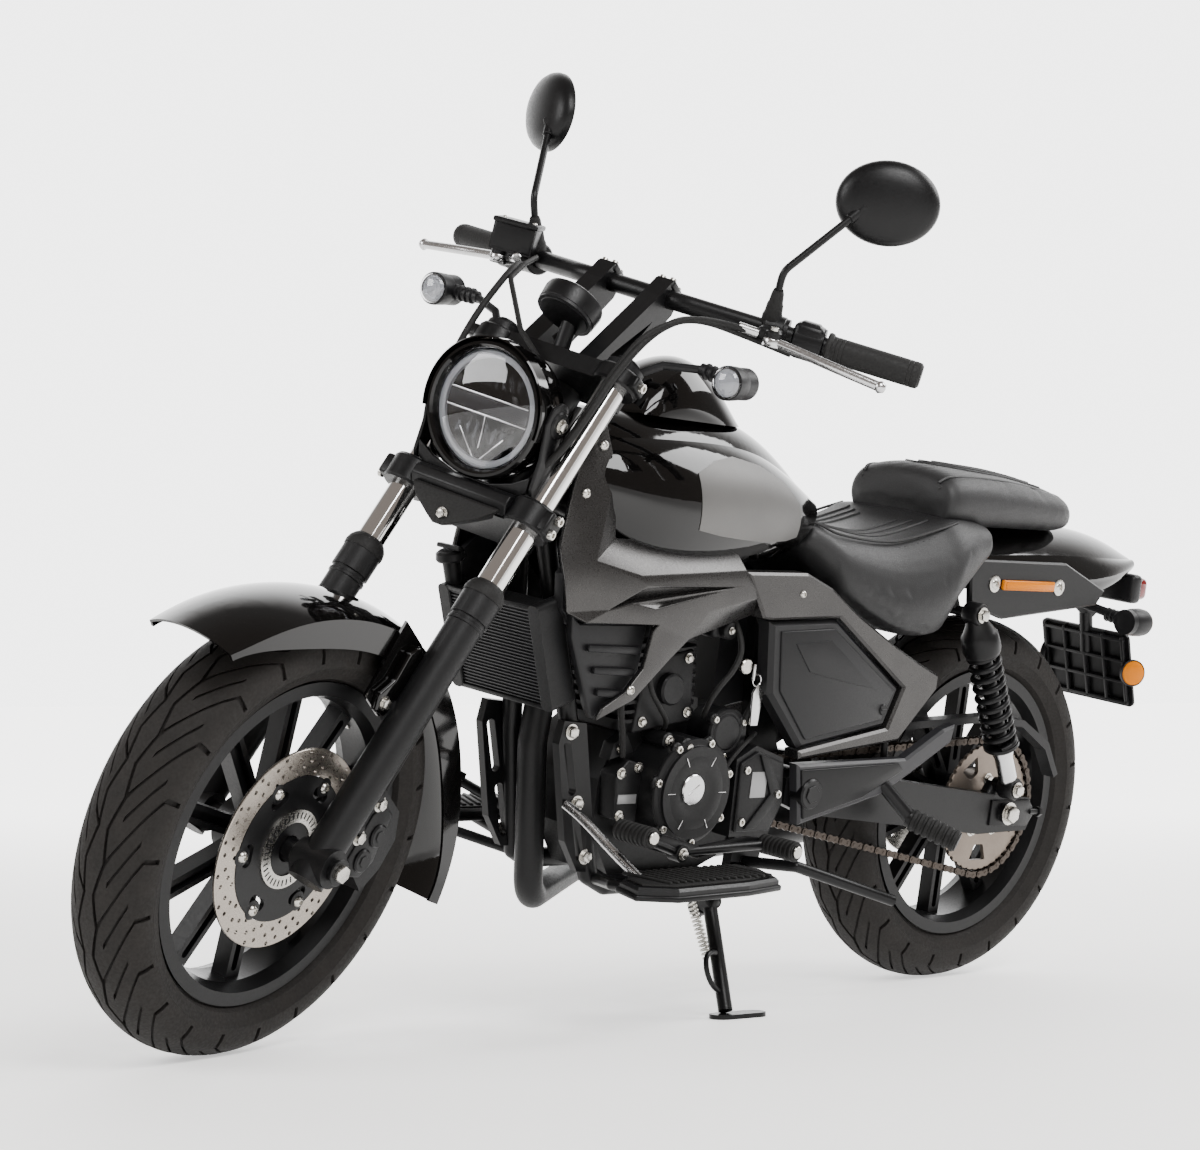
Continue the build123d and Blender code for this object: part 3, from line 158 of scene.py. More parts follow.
# Injection-moulded plastic takes an even grain from its tool
DARK_PLASTIC = coated("moulded_dark_plastic", "#161617", "#0f0f11", 2.5, (0.36, 0.50), 0.06, Specular_IOR_Level=0.24)
# Grey resin from the same kind of tool is a shade lighter and catches a little more light
GREY_PLASTIC = coated("moulded_grey_plastic", "#29292b", "#222225", 2.5, (0.36, 0.48), 0.05, Specular_IOR_Level=0.35)
# Moulded rubber is dull and slightly dusty
RUBBER = coated("black_rubber", "#121111", "#0b0b0a", 3, (0.55, 0.75), 0.10, Specular_IOR_Level=0.3)
# Tread rubber is browner and rougher, scuffed by the road in patches
TYRE_RUBBER = coated("tyre_tread_rubber", "#211e1c", "#151413", 4, (0.62, 0.82), 0.15, patch_mm=35,
                     Specular_IOR_Level=0.2)
# Polished chrome over ground tube: near mirror with a faint grind
CHROME = coated("hard_chrome", "#e6e5e4", "#d9d8d7", 6, (0.05, 0.10), 0.004, Metallic=1.0)
# Zinc plate on screw heads is bright and faintly yellow, its reflections soft
ZINC = coated("zinc_plated_steel", "#cfcdc8", "#b6b3ac", 4, (0.20, 0.34), 0.02, Metallic=1.0)
# Brake pads grind the disc to a warm, finely lined grey
DISC_STEEL = coated("ground_disc_steel", "#b8b0a6", "#a39b92", 2, (0.24, 0.38), 0.03, Metallic=1.0)
# Road film and oil dull the sprocket to a warm grey
SPROCKET_STEEL = coated("dulled_sprocket_steel", "#857a70", "#6c635b", 4, (0.34, 0.48), 0.03, Metallic=0.9)
# Polished aluminium is cool and bright, its image blurred by handling
ALLOY = coated("polished_alloy", "#d2d2d3", "#bfbfc0", 4, (0.16, 0.28), 0.01, Metallic=1.0)
# Oil holds dust on the chain, so its links read dark brown with glints on their edges
CHAIN_STEEL = coated("oiled_chain_steel", "#4b423b", "#302b27", 5, (0.32, 0.5), 0.03, Metallic=0.85)
# Reflector acrylic is deep amber with only a weak glint
AMBER = coated("amber_acrylic", "#cc7600", "#bc6600", 6, (0.06, 0.12), 0.02, Specular_IOR_Level=0.12)
# An unlit lamp's red is dark under a glossy face
RED_LENS = coated("red_lamp_acrylic", "#7a0808", "#4c0404", 6, (0.06, 0.12), 0.02, Coat_Weight=0.6)
# A light guide is milky and shows no sharp reflection
FROSTED = coated("frosted_light_guide", "#b9bcc0", "#9fa3a8", 3, (0.30, 0.42), 0.05)
# Of clear acrylic only the edge and a weak reflection show
CLEAR = bare("clear_lens_acrylic", Base_Color=linear("#f6f6f8"), Roughness=0.0, Transmission_Weight=1.0, IOR=1.49,
             Specular_IOR_Level=0.22)[0]
# Silvered glass gives back a clean, faintly blue image
MIRROR_GLASS = coated("silvered_mirror_glass", "#dfe3e6", "#d5d9dc", 60, (0.01, 0.03), 0.001, Metallic=1.0)
# Satin film on the tank's side is grey with one broad soft highlight
TANK_PANEL = coated("satin_grey_panel_film", "#62615f", "#555453", 2, (0.40, 0.52), 0.02, Metallic=0.3)
# Bare foil is mid grey with a dull sheen
LABEL = coated("blank_label_foil", "#8f8f90", "#848485", 3, (0.34, 0.46), 0.01, Metallic=0.5)
# Calendered vinyl has leather cells pressed in by a roller, drawn at 3 mm so that they show at this distance
VINYL = covered("grained_seat_vinyl", "#1e1e1f", "#161617", 90,
                ("ShaderNodeTexVoronoi", "Distance", (("Scale", METRE / 3.0),), {"feature": "DISTANCE_TO_EDGE"}),
                (("From Max", 0.25), ("To Min", 0.62), ("To Max", 0.44)), (0.35, 0.0006), {"Specular_IOR_Level": 0.4})
# Faceted lamp bowls are metallised over smoked plastic, so they read dark with bright glints
SMOKED_CHROME = coated("smoked_reflector_chrome", "#1d1e20", "#121314", 5, (0.08, 0.14), 0.002, Metallic=0.9)
# Nylon thread is dull and a shade darker than the vinyl
THREAD = coated("nylon_seat_thread", "#161616", "#101010", 2, (0.5, 0.7), 0.05)

NODE_FINISH = {
    GLOSS_BLACK: ("fuel_tank", "tank_console", "front_fender", "rear_fender", "headlight_shell"),
    GRAPHITE: ("shrouds", "frame_covers"),
    SATIN_BLACK: ("main_frame", "triple_clamps", "swingarm", "side_stand", "handlebar", "bar_risers", "front_wheel",
                  "rear_wheel", "headlight_bracket", "front_axle", "muffler", "disc_carrier",
                  "plate_bracket", "mirrors", "footboards", "foot_pedals", "pillion_pegs", "bar_controls",
                  "shock_springs", "fender_struts"),
    MATTE_BLACK: ("crankcase", "cylinder", "engine_covers", "radiator", "fork_sliders", "front_caliper", "rear_axle",
                  "shock_dampers", "exhaust_header"),
    DARK_PLASTIC: ("side_covers", "airbox", "chain_guard", "instrument", "rear_signals", "front_signals"),
    GREY_PLASTIC: ("pivot_covers",),
    RUBBER: ("grips", "brake_hose"),
    TYRE_RUBBER: ("front_tyre", "rear_tyre"),
    VINYL: ("rider_seat", "pillion_seat"),
    CHROME: ("fork_tubes",),
    ZINC: ("rear_disc",),
    DISC_STEEL: ("front_disc", "sprocket"),
    ALLOY: ("levers",),
    CHAIN_STEEL: ("chain",),
    CLEAR: ("headlight_lens",),
    RED_LENS: ("tail_light",),
}
for finish, names in NODE_FINISH.items():
    for name in names:
        for slot in frame["nodes"][name].material_slots:
            slot.material = finish


# Bench: each helper leaves one new piece in millimetres, upright and steered straight
def clear_bench():
    if bpy.context.mode != "OBJECT":
        bpy.ops.object.mode_set(mode="OBJECT")
    bpy.ops.object.select_all(action="DESELECT")


def take(piece):
    clear_bench()
    piece.select_set(True)
    bpy.context.view_layer.objects.active = piece


def apply_modifier(piece, kind, **settings):
    take(piece)
    modifier = piece.modifiers.new(kind.lower(), kind)
    for key, value in settings.items():
        setattr(modifier, key, value)
    bpy.ops.object.modifier_apply(modifier=modifier.name)
    return piece


def rounded(piece, width, segments=2, angle=30):
    return apply_modifier(piece, "BEVEL", width=width, segments=segments, limit_method="ANGLE",
                          angle_limit=radians(angle), use_clamp_overlap=True)


def open_up(piece):
    """Into edit mode with everything selected."""
    take(piece)
    bpy.ops.object.mode_set(mode="EDIT")
    bpy.ops.mesh.select_all(action="SELECT")


def close_up(piece):
    """Faces turned outward, then out of edit mode."""
    bpy.ops.mesh.select_all(action="SELECT")
    bpy.ops.mesh.normals_make_consistent(inside=False)
    bpy.ops.object.mode_set(mode="OBJECT")
    return piece


def turned(profile, centre, axis, steps=64):
    """One vertex drawn along (reach, radius) points, then spun round the axis through centre."""
    clear_bench()
    bpy.ops.mesh.primitive_plane_add(size=1)
    piece = bpy.context.object
    open_up(piece)
    bpy.ops.mesh.select_mode(type="VERT")
    bpy.ops.mesh.select_all(action="SELECT")
    bpy.ops.mesh.merge(type="CENTER")
    along = Vector(axis).normalized()
    out = along.orthogonal().normalized()
    spots = [Vector(centre) + along * reach + out * radius for reach, radius in profile]
    bpy.ops.transform.translate(value=spots[0])
    for spot, following in zip(spots, spots[1:]):
        bpy.ops.mesh.extrude_region_move(TRANSFORM_OT_translate={"value": following - spot})
    bpy.ops.mesh.select_all(action="SELECT")
    bpy.ops.mesh.spin(steps=steps, angle=2 * pi, center=centre, axis=along)
    bpy.ops.mesh.select_all(action="SELECT")
    bpy.ops.mesh.remove_doubles(threshold=0.02)
    return close_up(piece)


def rod(start, end, radius, edge=1.0, sides=24, end_radius=None):
    """A round bar between two points, its ends chamfered."""
    start, end = Vector(start), Vector(end)
    last = radius if end_radius is None else end_radius
    length = (end - start).length
    edge = min(edge, radius * 0.45, last * 0.45, length * 0.45)
    return turned(((0, 0), (0, radius - edge), (edge, radius), (length - edge, last), (length, last - edge),
                   (length, 0)), start, end - start, sides)


def drawn_line(kind, points, radius, detail):
    """A round line through its points, smooth or straight between them, as a mesh."""
    clear_bench()
    bpy.ops.curve.primitive_nurbs_path_add()
    path = bpy.context.object
    path.data.splines.clear()
    spline = path.data.splines.new(kind)
    spline.points.add(len(points) - 1)
    for knot, spot in zip(spline.points, points):
        knot.co = (*spot, 1)
    if kind == "NURBS":
        spline.order_u = 3
        spline.use_endpoint_u = True
        spline.resolution_u = 8
    path.data.bevel_depth = radius
    path.data.bevel_resolution = detail
    path.data.use_fill_caps = True
    bpy.ops.object.convert(target="MESH")
    return bpy.context.object


def tube(points, radius, detail=3):
    """A hose, cable or bent rod along a smooth line through its route."""
    return drawn_line("NURBS", points, radius, detail)


def strung(points, radius, detail=1):
    """A bead of piping, stitch line or edge trim that passes through all its points."""
    return drawn_line("POLY", points, radius, detail)


def pulled(spots, fill="NOTHING"):
    """A ring of corners, open or filled, pulled to their spots."""
    clear_bench()
    bpy.ops.mesh.primitive_circle_add(vertices=len(spots), fill_type=fill)
    piece = bpy.context.object
    for corner, spot in zip(piece.data.vertices, spots):
        corner.co = spot
    return piece


def sheet_of(outline, spot_of, push, edge=2.0, segments=2):
    """A flat outline pulled into place, extruded by push, its edges rounded."""
    piece = pulled([spot_of(*flat) for flat in outline], "NGON")
    open_up(piece)
    bpy.ops.mesh.extrude_region_move(TRANSFORM_OT_translate={"value": push})
    close_up(piece)
    return rounded(piece, edge, segments) if edge else piece


def side_panel(outline, inner, outer, edge=2.0, segments=2):
    """A panel drawn in side view between two distances from the middle."""
    return sheet_of(outline, lambda x, z: (x, inner, z), Vector((0, outer - inner, 0)), edge, segments)


def block(centre, size, edge=2.0, segments=2, turn=None):
    clear_bench()
    bpy.ops.mesh.primitive_cube_add(size=1)
    piece = bpy.context.object
    piece.data.transform((turn or Matrix()).to_4x4() @ Matrix.Diagonal((*size, 1)))
    piece.data.transform(Matrix.Translation(centre))
    return rounded(piece, edge, segments) if edge else piece


def joined(pieces):
    clear_bench()
    for piece in pieces:
        piece.select_set(True)
    bpy.context.view_layer.objects.active = pieces[0]
    if len(pieces) > 1:
        bpy.ops.object.join()
    return pieces[0]


def twin_of(piece, move):
    """A copy with its own mesh, moved."""
    twin = piece.copy()
    twin.data = piece.data.copy()
    twin.data.transform(move)
    bpy.context.collection.objects.link(twin)
    return twin


def copies(piece, moves):
    """The piece at each of the moves, joined."""
    made = [twin_of(piece, move) for move in moves]
    bpy.data.objects.remove(piece)
    return joined(made)


def both_sides(piece):
    """The piece and its mirror image across the middle of the machine."""
    twin = twin_of(piece, Matrix.Scale(-1, 4, LEFT))
    twin.data.flip_normals()
    return joined([piece, twin])


def facing(spot, way, spin=0.0):
    """A move that takes a piece drawn at the origin along +Z to a spot, pointing that way."""
    return (Matrix.Translation(spot) @ Vector(way).to_track_quat("Z", "Y").to_matrix().to_4x4()
            @ Matrix.Rotation(spin, 4, "Z"))


def hand_over(piece, name, body, finish, stands_for=(), crease=35, rides=True):
    """Name, finish, set in place and hang on its body."""
    piece.name = name
    piece.data.name = name
    piece.data.transform(PLACES[body])
    piece.data.materials.clear()
    piece.data.materials.append(finish)
    take(piece)
    bpy.ops.object.shade_smooth_by_angle(angle=radians(crease))
    if rides:
        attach(piece, body)
    if stands_for:
        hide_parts(*stands_for)
    return piece


def bridged(rings, closed=False, cap=True):
    """Rings of equal count pulled into place, joined and bridged one to the next, open ends filled."""
    piece = joined([pulled(ring) for ring in rings])
    open_up(piece)
    bpy.ops.mesh.bridge_edge_loops(type="CLOSED" if closed else "SINGLE", use_merge=False)
    if cap and not closed:
        bpy.ops.mesh.select_all(action="DESELECT")
        bpy.ops.mesh.select_mode(type="EDGE")
        bpy.ops.mesh.select_non_manifold()
        bpy.ops.mesh.fill_holes(sides=0)
        bpy.ops.mesh.select_mode(type="FACE")
    return close_up(piece)


def arc_through(a, b, c, count):
    """Points from a to c on the circle through b, the end left off."""
    (ax, ay), (bx, by), (cx, cy) = a, b, c
    turn = 2 * (ax * (by - cy) + bx * (cy - ay) + cx * (ay - by))
    if abs(turn) < 1e-6:
        return [(ax + (cx - ax) * i / count, ay + (cy - ay) * i / count) for i in range(count)]
    aa, bb, cc = (x * x + y * y for x, y in (a, b, c))
    ox = (aa * (by - cy) + bb * (cy - ay) + cc * (ay - by)) / turn
    oy = (aa * (cx - bx) + bb * (ax - cx) + cc * (bx - ax)) / turn
    reach = hypot(ax - ox, ay - oy)
    first, middle, last = (atan2(y - oy, x - ox) for x, y in (a, b, c))
    span = (last - first) % (2 * pi)
    if (middle - first) % (2 * pi) > span:
        span -= 2 * pi
    angles = [first + span * i / count for i in range(count)]
    return [(ox + reach * cos(angle), oy + reach * sin(angle)) for angle in angles]


def section_ring(row):
    """A section of a seat: x, then bottom, widest and shoulder half widths with heights, then crown height."""
    x, low_y, low_z, wide_y, wide_z, top_y, top_z, crown = row
    flat = arc_through((low_y, low_z), (wide_y, wide_z), (top_y, top_z), 8)
    flat += arc_through((top_y, top_z), (0, crown), (-top_y, top_z), 12)
    flat += arc_through((-top_y, top_z), (-wide_y, wide_z), (-low_y, low_z), 8)
    flat += [(-low_y + low_y * i / 3, low_z) for i in range(6)]
    return [(x, y, z) for y, z in flat]


def eased_rows(rows, steps):
    """Rows with more between them on a smooth curve through each column."""
    made = []
    for i in range(len(rows) - 1):
        before, start, end, after = (rows[max(0, min(len(rows) - 1, i + k))] for k in (-1, 0, 1, 2))
        for k in range(steps):
            t = k / steps
            made.append([0.5 * (2 * b + (c - a) * t + (2 * a - 5 * b + 4 * c - d) * t * t
                                + (3 * b - a - 3 * c + d) * t ** 3)
                         for a, b, c, d in zip(before, start, end, after)])
    return made + [list(rows[-1])]


def cut_away(piece, spot, way):
    """Everything on the side of a plane that the way points to is cut off and the cut closed."""
    open_up(piece)
    bpy.ops.mesh.bisect(plane_co=spot, plane_no=way, use_fill=True, clear_outer=True)
    bpy.ops.object.mode_set(mode="OBJECT")
    return piece


def bolt(radius, height, kind="hex"):
    """A screw head standing on the origin along +Z: hexagon with washer, domed button or socket cap."""
    if kind == "hex":
        clear_bench()
        bpy.ops.mesh.primitive_cylinder_add(vertices=6, radius=radius, depth=height)
        head = bpy.context.object
        head.data.transform(Matrix.Translation((0, 0, height / 2 + 1)))
        head = rounded(head, height * 0.18, 2)
        return joined([head, turned(((0, radius * 0.3), (0, radius * 1.25), (1.2, radius * 1.3), (1.6, radius * 0.6)),
                                    ORIGIN, UP, 18)])
    if kind == "button":
        return turned(((0, radius), (height * 0.45, radius * 0.92), (height * 0.85, radius * 0.66),
                       (height, radius * 0.42), (height * 0.5, radius * 0.36), (height * 0.5, 0)), ORIGIN, UP, 16)
    return turned(((0, radius), (height * 0.88, radius), (height, radius * 0.88), (height, radius * 0.52),
                   (height * 0.4, radius * 0.46), (height * 0.4, 0)), ORIGIN, UP, 16)


def on_both(*spots):
    """Bolt spots on the left, each with its way, then their mirror images."""
    return [(x, side * y, z, 0, side, 0) for side in (1, -1) for x, y, z in spots]


def shares(count, start=0.0):
    """Angles that part a full turn evenly."""
    return [start + 2 * pi * i / count for i in range(count)]


def on_ring(centre, y, ring, angles):
    """Spots on a ring about a leftward axis, seen from the left."""
    return [(centre.x + ring * cos(angle), y, centre.z + ring * sin(angle)) for angle in angles]


def spokes(centre, reach, angles):
    """Moves that stand a piece out from a leftward axis at each angle."""
    return [Matrix.Translation(centre) @ Matrix.Rotation(-angle, 4, "Y") @ Matrix.Translation((reach, 0, 0))
            for angle in angles]


BOLT_TWIST = 0.3  # each head stops at its own angle


def leftward(spots):
    """Moves that point a piece to the left at each spot."""
    return [facing(spot, LEFT) for spot in spots]


def bolts(name, body, finish, head, spots, way=LEFT):
    """One head copied to every spot; a spot may carry its own way."""
    moves = [facing(spot[:3], spot[3:] or way, BOLT_TWIST * i) for i, spot in enumerate(spots)]
    return hand_over(copies(head, moves), name, body, finish)


# Tyres: a grid whose rows and columns follow the tread, wrapped round the axle, its grooves pressed in
TREAD_ROWS = (0.0, 0.09, 0.25, 0.41, 0.50, 0.59, 0.75, 0.91)
TREAD_REPEATS = 22
TREAD_DEPTH = 5.0
CROWN_DROP = 28
GROOVE_IN, GROOVE_OUT = 0.17, 0.25
ZIGZAG, SWEEP, SWEEP_BEND = 0.07, 1.15, 1.3
BEAD_OUTER, BEAD_INNER = 231, 217


def treaded_tyre(name, node, body, axle, radius, width, rim_half):
    half = width / 2 - 5
    arch = (half ** 2 + CROWN_DROP ** 2) / (2 * CROWN_DROP)
    crown = [(share * half, None, share) for share in (0.0, GROOVE_IN, GROOVE_OUT, 0.42, 0.58, 0.74, 0.88, 1.0)]
    wall = [(width / 2 + reach, radius - drop, 1.0) for reach, drop in (
        (-1.6, 38), (0, 50), (-0.6, 58), (-2.2, 59.5), (-5.8, 68), (-10.7, 74), (-11.2, 76), (-13.7, 77.5))]
    bead = [(rim_half - 0.3, BEAD_OUTER, 1.0), (rim_half - 0.5, BEAD_INNER, 1.0), (0, BEAD_INNER, 1.0)]
    left = crown + wall + bead
    columns = [(-y, r, s) for y, r, s in left[::-1]] + left[1:]
    rows = TREAD_REPEATS * len(TREAD_ROWS)
    clear_bench()
    bpy.ops.mesh.primitive_grid_add(x_subdivisions=rows, y_subdivisions=len(columns) - 1)
    piece = bpy.context.object
    sector = 2 * pi / TREAD_REPEATS
    for corner in piece.data.vertices:
        row, column = corner.index % (rows + 1), corner.index // (rows + 1)
        y, reach, share = columns[column]
        along = row // len(TREAD_ROWS) + TREAD_ROWS[row % len(TREAD_ROWS)]
        if share in (GROOVE_IN, GROOVE_OUT):
            y += ZIGZAG * half * (abs(4 * ((along + (0 if y > 0 else 0.5)) % 1) - 2) - 1)
        if reach is None:
            reach = radius - arch + sqrt(arch ** 2 - y ** 2)
        spread = max(0.0, (share - GROOVE_OUT) / (1 - GROOVE_OUT))
        turn = sector * (along + SWEEP * spread ** SWEEP_BEND)
        corner.co = axle + Vector((reach * cos(turn), y, reach * sin(turn)))
    middle = len(left) - 1
    for face in piece.data.polygons:
        row = min(v % (rows + 1) for v in face.vertices) % len(TREAD_ROWS)
        column = min(v // (rows + 1) for v in face.vertices)
        side = 1 if column >= middle else -1
        step = column - middle if side > 0 else middle - 1 - column
        wide = step in range(2, 9) and row == (0 if side > 0 else 4)
        short = step in (3, 4, 5) and row == (4 if side > 0 else 0)
        face.material_index = 1 if step == 1 or wide or short else 0
    open_up(piece)
    bpy.ops.mesh.select_mode(type="FACE")
    bpy.ops.mesh.select_all(action="SELECT")
    bpy.ops.mesh.remove_doubles(threshold=0.05)
    bpy.ops.mesh.normals_make_consistent(inside=False)
    bpy.ops.mesh.select_all(action="DESELECT")
    bpy.ops.object.mode_set(mode="OBJECT")
    for face in piece.data.polygons:
        face.select = face.material_index == 1
    bpy.ops.object.mode_set(mode="EDIT")
    bpy.ops.mesh.extrude_region_shrink_fatten(TRANSFORM_OT_shrink_fatten={"value": -TREAD_DEPTH})
    bpy.ops.object.mode_set(mode="OBJECT")
    for face in piece.data.polygons:
        face.material_index = 0
    return hand_over(piece, name, body, TYRE_RUBBER, (node,), crease=32)


treaded_tyre("front_tyre_tread", "front_tyre", "front_wheel", FRONT_AXLE, 312.0, 122.0, 38.0)
treaded_tyre("rear_tyre_tread", "rear_tyre", "rear_wheel", REAR_AXLE, 314.0, 138.0, 47.0)

# Front wheel furniture on the left: drilled disc, its carrier bolts, tone ring, axle bolt and balance weights
disc = turned(((51.75, 103.6), (51.75, 140), (52.6, 141), (55.4, 141), (56.25, 140), (56.25, 103.6), (51.75, 103.6)),
              FRONT_AXLE, LEFT, 96)
drillings = []
for ring, start in ((109, 0.0), (116, 0.116), (123, 0.232), (130, 0.05), (136, 0.18)):
    drillings += on_ring(FRONT_AXLE, 48, ring, shares(18, start))
drill = copies(rod(ORIGIN, (0, 0, 14), 3.1, 0, 12), leftward(drillings))
apply_modifier(disc, "BOOLEAN", object=drill, operation="DIFFERENCE", solver="EXACT")
bpy.data.objects.remove(drill)
hand_over(disc, "front_disc_ring", "front_wheel", DISC_STEEL, ("front_disc",))
bolts("front_disc_bolts", "front_wheel", ZINC, bolt(8, 5, "button"), on_ring(FRONT_AXLE, 57.5, 94, shares(6)))
boss = turned(((0, 0), (0, 14), (3, 15), (9, 14), (10, 10), (10, 0)), ORIGIN, UP, 24)
hand_over(copies(boss, leftward(on_ring(FRONT_AXLE, 47.5, 94, shares(6)))),
          "front_disc_lugs", "front_wheel", SATIN_BLACK)
tone = turned(((57.2, 38), (57.2, 56), (59.4, 56), (59.4, 38), (57.2, 38)), FRONT_AXLE, LEFT, 64)
hand_over(tone, "front_tone_ring", "front_wheel", ZINC)
slot = block(ORIGIN, (9, 2.2, 1.2), 0.3, 1)
slot_moves = [move @ tilt(90, "X") for move in spokes(FRONT_AXLE + Vector((0, 59.3, 0)), 48, shares(36))]
hand_over(copies(slot, slot_moves), "front_tone_slots", "front_wheel", MATTE_BLACK)
RIM_LEDGE = 200.5
weight = block(ORIGIN, (4, 22, 9), 1.2, 2)
weight_moves = [move @ tilt(90, "X") for move in spokes(FRONT_AXLE, RIM_LEDGE, (2.2, 2.32))]
hand_over(copies(weight, weight_moves), "front_balance_weights", "front_wheel", ZINC)
collars = [rod(FRONT_AXLE + Vector((0, inner, 0)), FRONT_AXLE + Vector((0, outer, 0)), radius, edge, 32)
           for inner, outer, radius, edge in ((145, 147, 19, 0.8), (74, 81, 20, 1.0))]
hand_over(joined(collars), "front_axle_collars", "steering", SATIN_BLACK)
bolts("front_axle_bolts", "steering", ZINC, bolt(13, 9), on_both(FRONT_AXLE + Vector((0, 145, 0))))
valve = rod(FRONT_AXLE + Vector((196, 0, 0)), FRONT_AXLE + Vector((176, 8, 0)), 4, 0.8, 14)
hand_over(valve, "front_valve_stem", "front_wheel", RUBBER)
bolts("rear_axle_nuts", "chassis", ZINC, bolt(15, 11), on_both(REAR_AXLE + Vector((0, 143, 0))))
wheel_sprocket = turned(((50, 34), (50, 60), (82.5, 60), (82.5, 108.6), (83.6, 110), (88.4, 110), (89.5, 108.6),
                         (89.5, 34), (50, 34)),
                        REAR_AXLE, LEFT, 168)
tooth_gaps = copies(rod(ORIGIN, (0, 0, 14), 4.6, 0, 16), leftward(on_ring(REAR_AXLE, 79, 111.5, shares(42))))
windows = copies(side_panel([(-22, 92), (22, 92), (11, 65), (-11, 65)], 70, 100, 4, 3),
                 spokes(REAR_AXLE, 0, [-angle for angle in shares(5, pi / 5)]))
for cutter in (tooth_gaps, windows):
    apply_modifier(wheel_sprocket, "BOOLEAN", object=cutter, operation="DIFFERENCE", solver="EXACT")
    bpy.data.objects.remove(cutter)
hand_over(wheel_sprocket, "rear_sprocket_plate", "rear_wheel", SPROCKET_STEEL, ("sprocket",), crease=30)
bolts("rear_sprocket_nuts", "rear_wheel", ZINC, bolt(8, 6), on_ring(REAR_AXLE, 89.5, 48, shares(5, 0.3)))
bolts("rear_disc_bolts", "rear_wheel", ZINC, bolt(6, 4, "button"),
      [(*spot, 0, -1, 0) for spot in on_ring(REAR_AXLE, -55.2, 30, shares(5, 0.2))])

# Roller chain: plates and rollers of one pitch, copied round the line of the two sprockets
CHAIN_PITCH = 15.875
REAR_PITCH_RADIUS, FRONT_PITCH_RADIUS = 117.0, 42.3
FRONT_SPROCKET = Vector((612, 0, 366))
CHAIN_Y = 86


def chain_line():
    run = FRONT_SPROCKET - REAR_AXLE
    reach = hypot(run.x, run.z)
    slope = atan2(run.z, run.x)
    wrap = asin((REAR_PITCH_RADIUS - FRONT_PITCH_RADIUS) / reach)
    straight = sqrt(reach ** 2 - (REAR_PITCH_RADIUS - FRONT_PITCH_RADIUS) ** 2)
    upper, lower = slope + pi / 2 - wrap, slope - pi / 2 + wrap
    front_arc, rear_arc = FRONT_PITCH_RADIUS * (pi - 2 * wrap), REAR_PITCH_RADIUS * (pi + 2 * wrap)
    whole = 2 * straight + front_arc + rear_arc
    count = 2 * round(whole / CHAIN_PITCH / 2)

    def front(angle):
        return Vector(on_ring(FRONT_SPROCKET, CHAIN_Y, FRONT_PITCH_RADIUS, (angle,))[0])

    def rear(angle):
        return Vector(on_ring(REAR_AXLE, CHAIN_Y, REAR_PITCH_RADIUS, (angle,))[0])

    spots = []
    for i in range(count):
        s = whole * i / count
        if s < straight:
            spots.append(rear(upper).lerp(front(upper), s / straight))
        elif s < straight + front_arc:
            spots.append(front(upper - (s - straight) / FRONT_PITCH_RADIUS))
        elif s < 2 * straight + front_arc:
            spots.append(front(lower).lerp(rear(lower), (s - straight - front_arc) / straight))
        else:
            spots.append(rear(lower - (s - 2 * straight - front_arc) / REAR_PITCH_RADIUS))
    return spots


def link_plate(y, thick):
    outline = [(-6.4, 0), (-4.4, 4.6), (0, 6), (4, 4.9), (7.9, 4.2), (11.9, 4.9), (15.9, 6), (20.3, 4.6), (22.3, 0),
               (20.3, -4.6), (15.9, -6), (11.9, -4.9), (7.9, -4.2), (4, -4.9), (0, -6), (-4.4, -4.6)]
    return sheet_of(outline, lambda x, z: (x, y, z), Vector((0, thick, 0)), 0, 1)


LINK_THICK = 1.7
CHAIN_SPOTS = chain_line()
for parity, name, gap, half, radius, edge in ((0, "chain_inner_links", 4.3, 4.3, 5.1, 0.5),
                                              (1, "chain_outer_links", 6.2, 8.8, 2.6, 0.6)):
    parts = [link_plate(gap, LINK_THICK), link_plate(-gap - LINK_THICK, LINK_THICK)]
    parts += [rod((x, -half, 0), (x, half, 0), radius, edge, 8) for x in (0, CHAIN_PITCH)]
    link = joined(parts)
    moves = []
    for i in range(parity, len(CHAIN_SPOTS), 2):
        start, end = CHAIN_SPOTS[i], CHAIN_SPOTS[(i + 1) % len(CHAIN_SPOTS)]
        way = (end - start).normalized()
        moves.append(Matrix.Translation(start) @ axes(way, LEFT, way.cross(Vector(LEFT))))
    hand_over(copies(link, moves), name, "chassis", CHAIN_STEEL, ("chain",), crease=30)

# Seats: foam forms skinned through cross-sections, plumped as cloth, then piped and quilted
RIDER_ROWS = ((552, 54, 744, 80, 764, 52, 788, 796), (505, 104, 702, 118, 736, 80, 774, 784),
              (470, 130, 668, 140, 705, 100, 762, 772), (370, 152, 624, 162, 690, 116, 758, 762),
              (270, 150, 618, 170, 712, 124, 782, 784), (222, 146, 672, 165, 738, 122, 795, 799),
              (134, 130, 744, 140, 764, 114, 795, 798))
PILLION_ROWS = ((230, 96, 790, 108, 822, 78, 854, 864), (196, 100, 790, 118, 828, 86, 866, 878),
                (60, 98, 791, 116, 826, 84, 864, 876), (-100, 82, 791, 98, 816, 66, 846, 856),
                (-150, 60, 791, 72, 808, 48, 828, 836), (-166, 44, 792, 52, 804, 36, 816, 820))
COVER_VOXEL, COVER_PRESSURE, COVER_FRAMES = 0.005, 4.0, 20
COVER_CAP = 0.004
STITCH_PITCH = 7
OVERHEAD = 1200


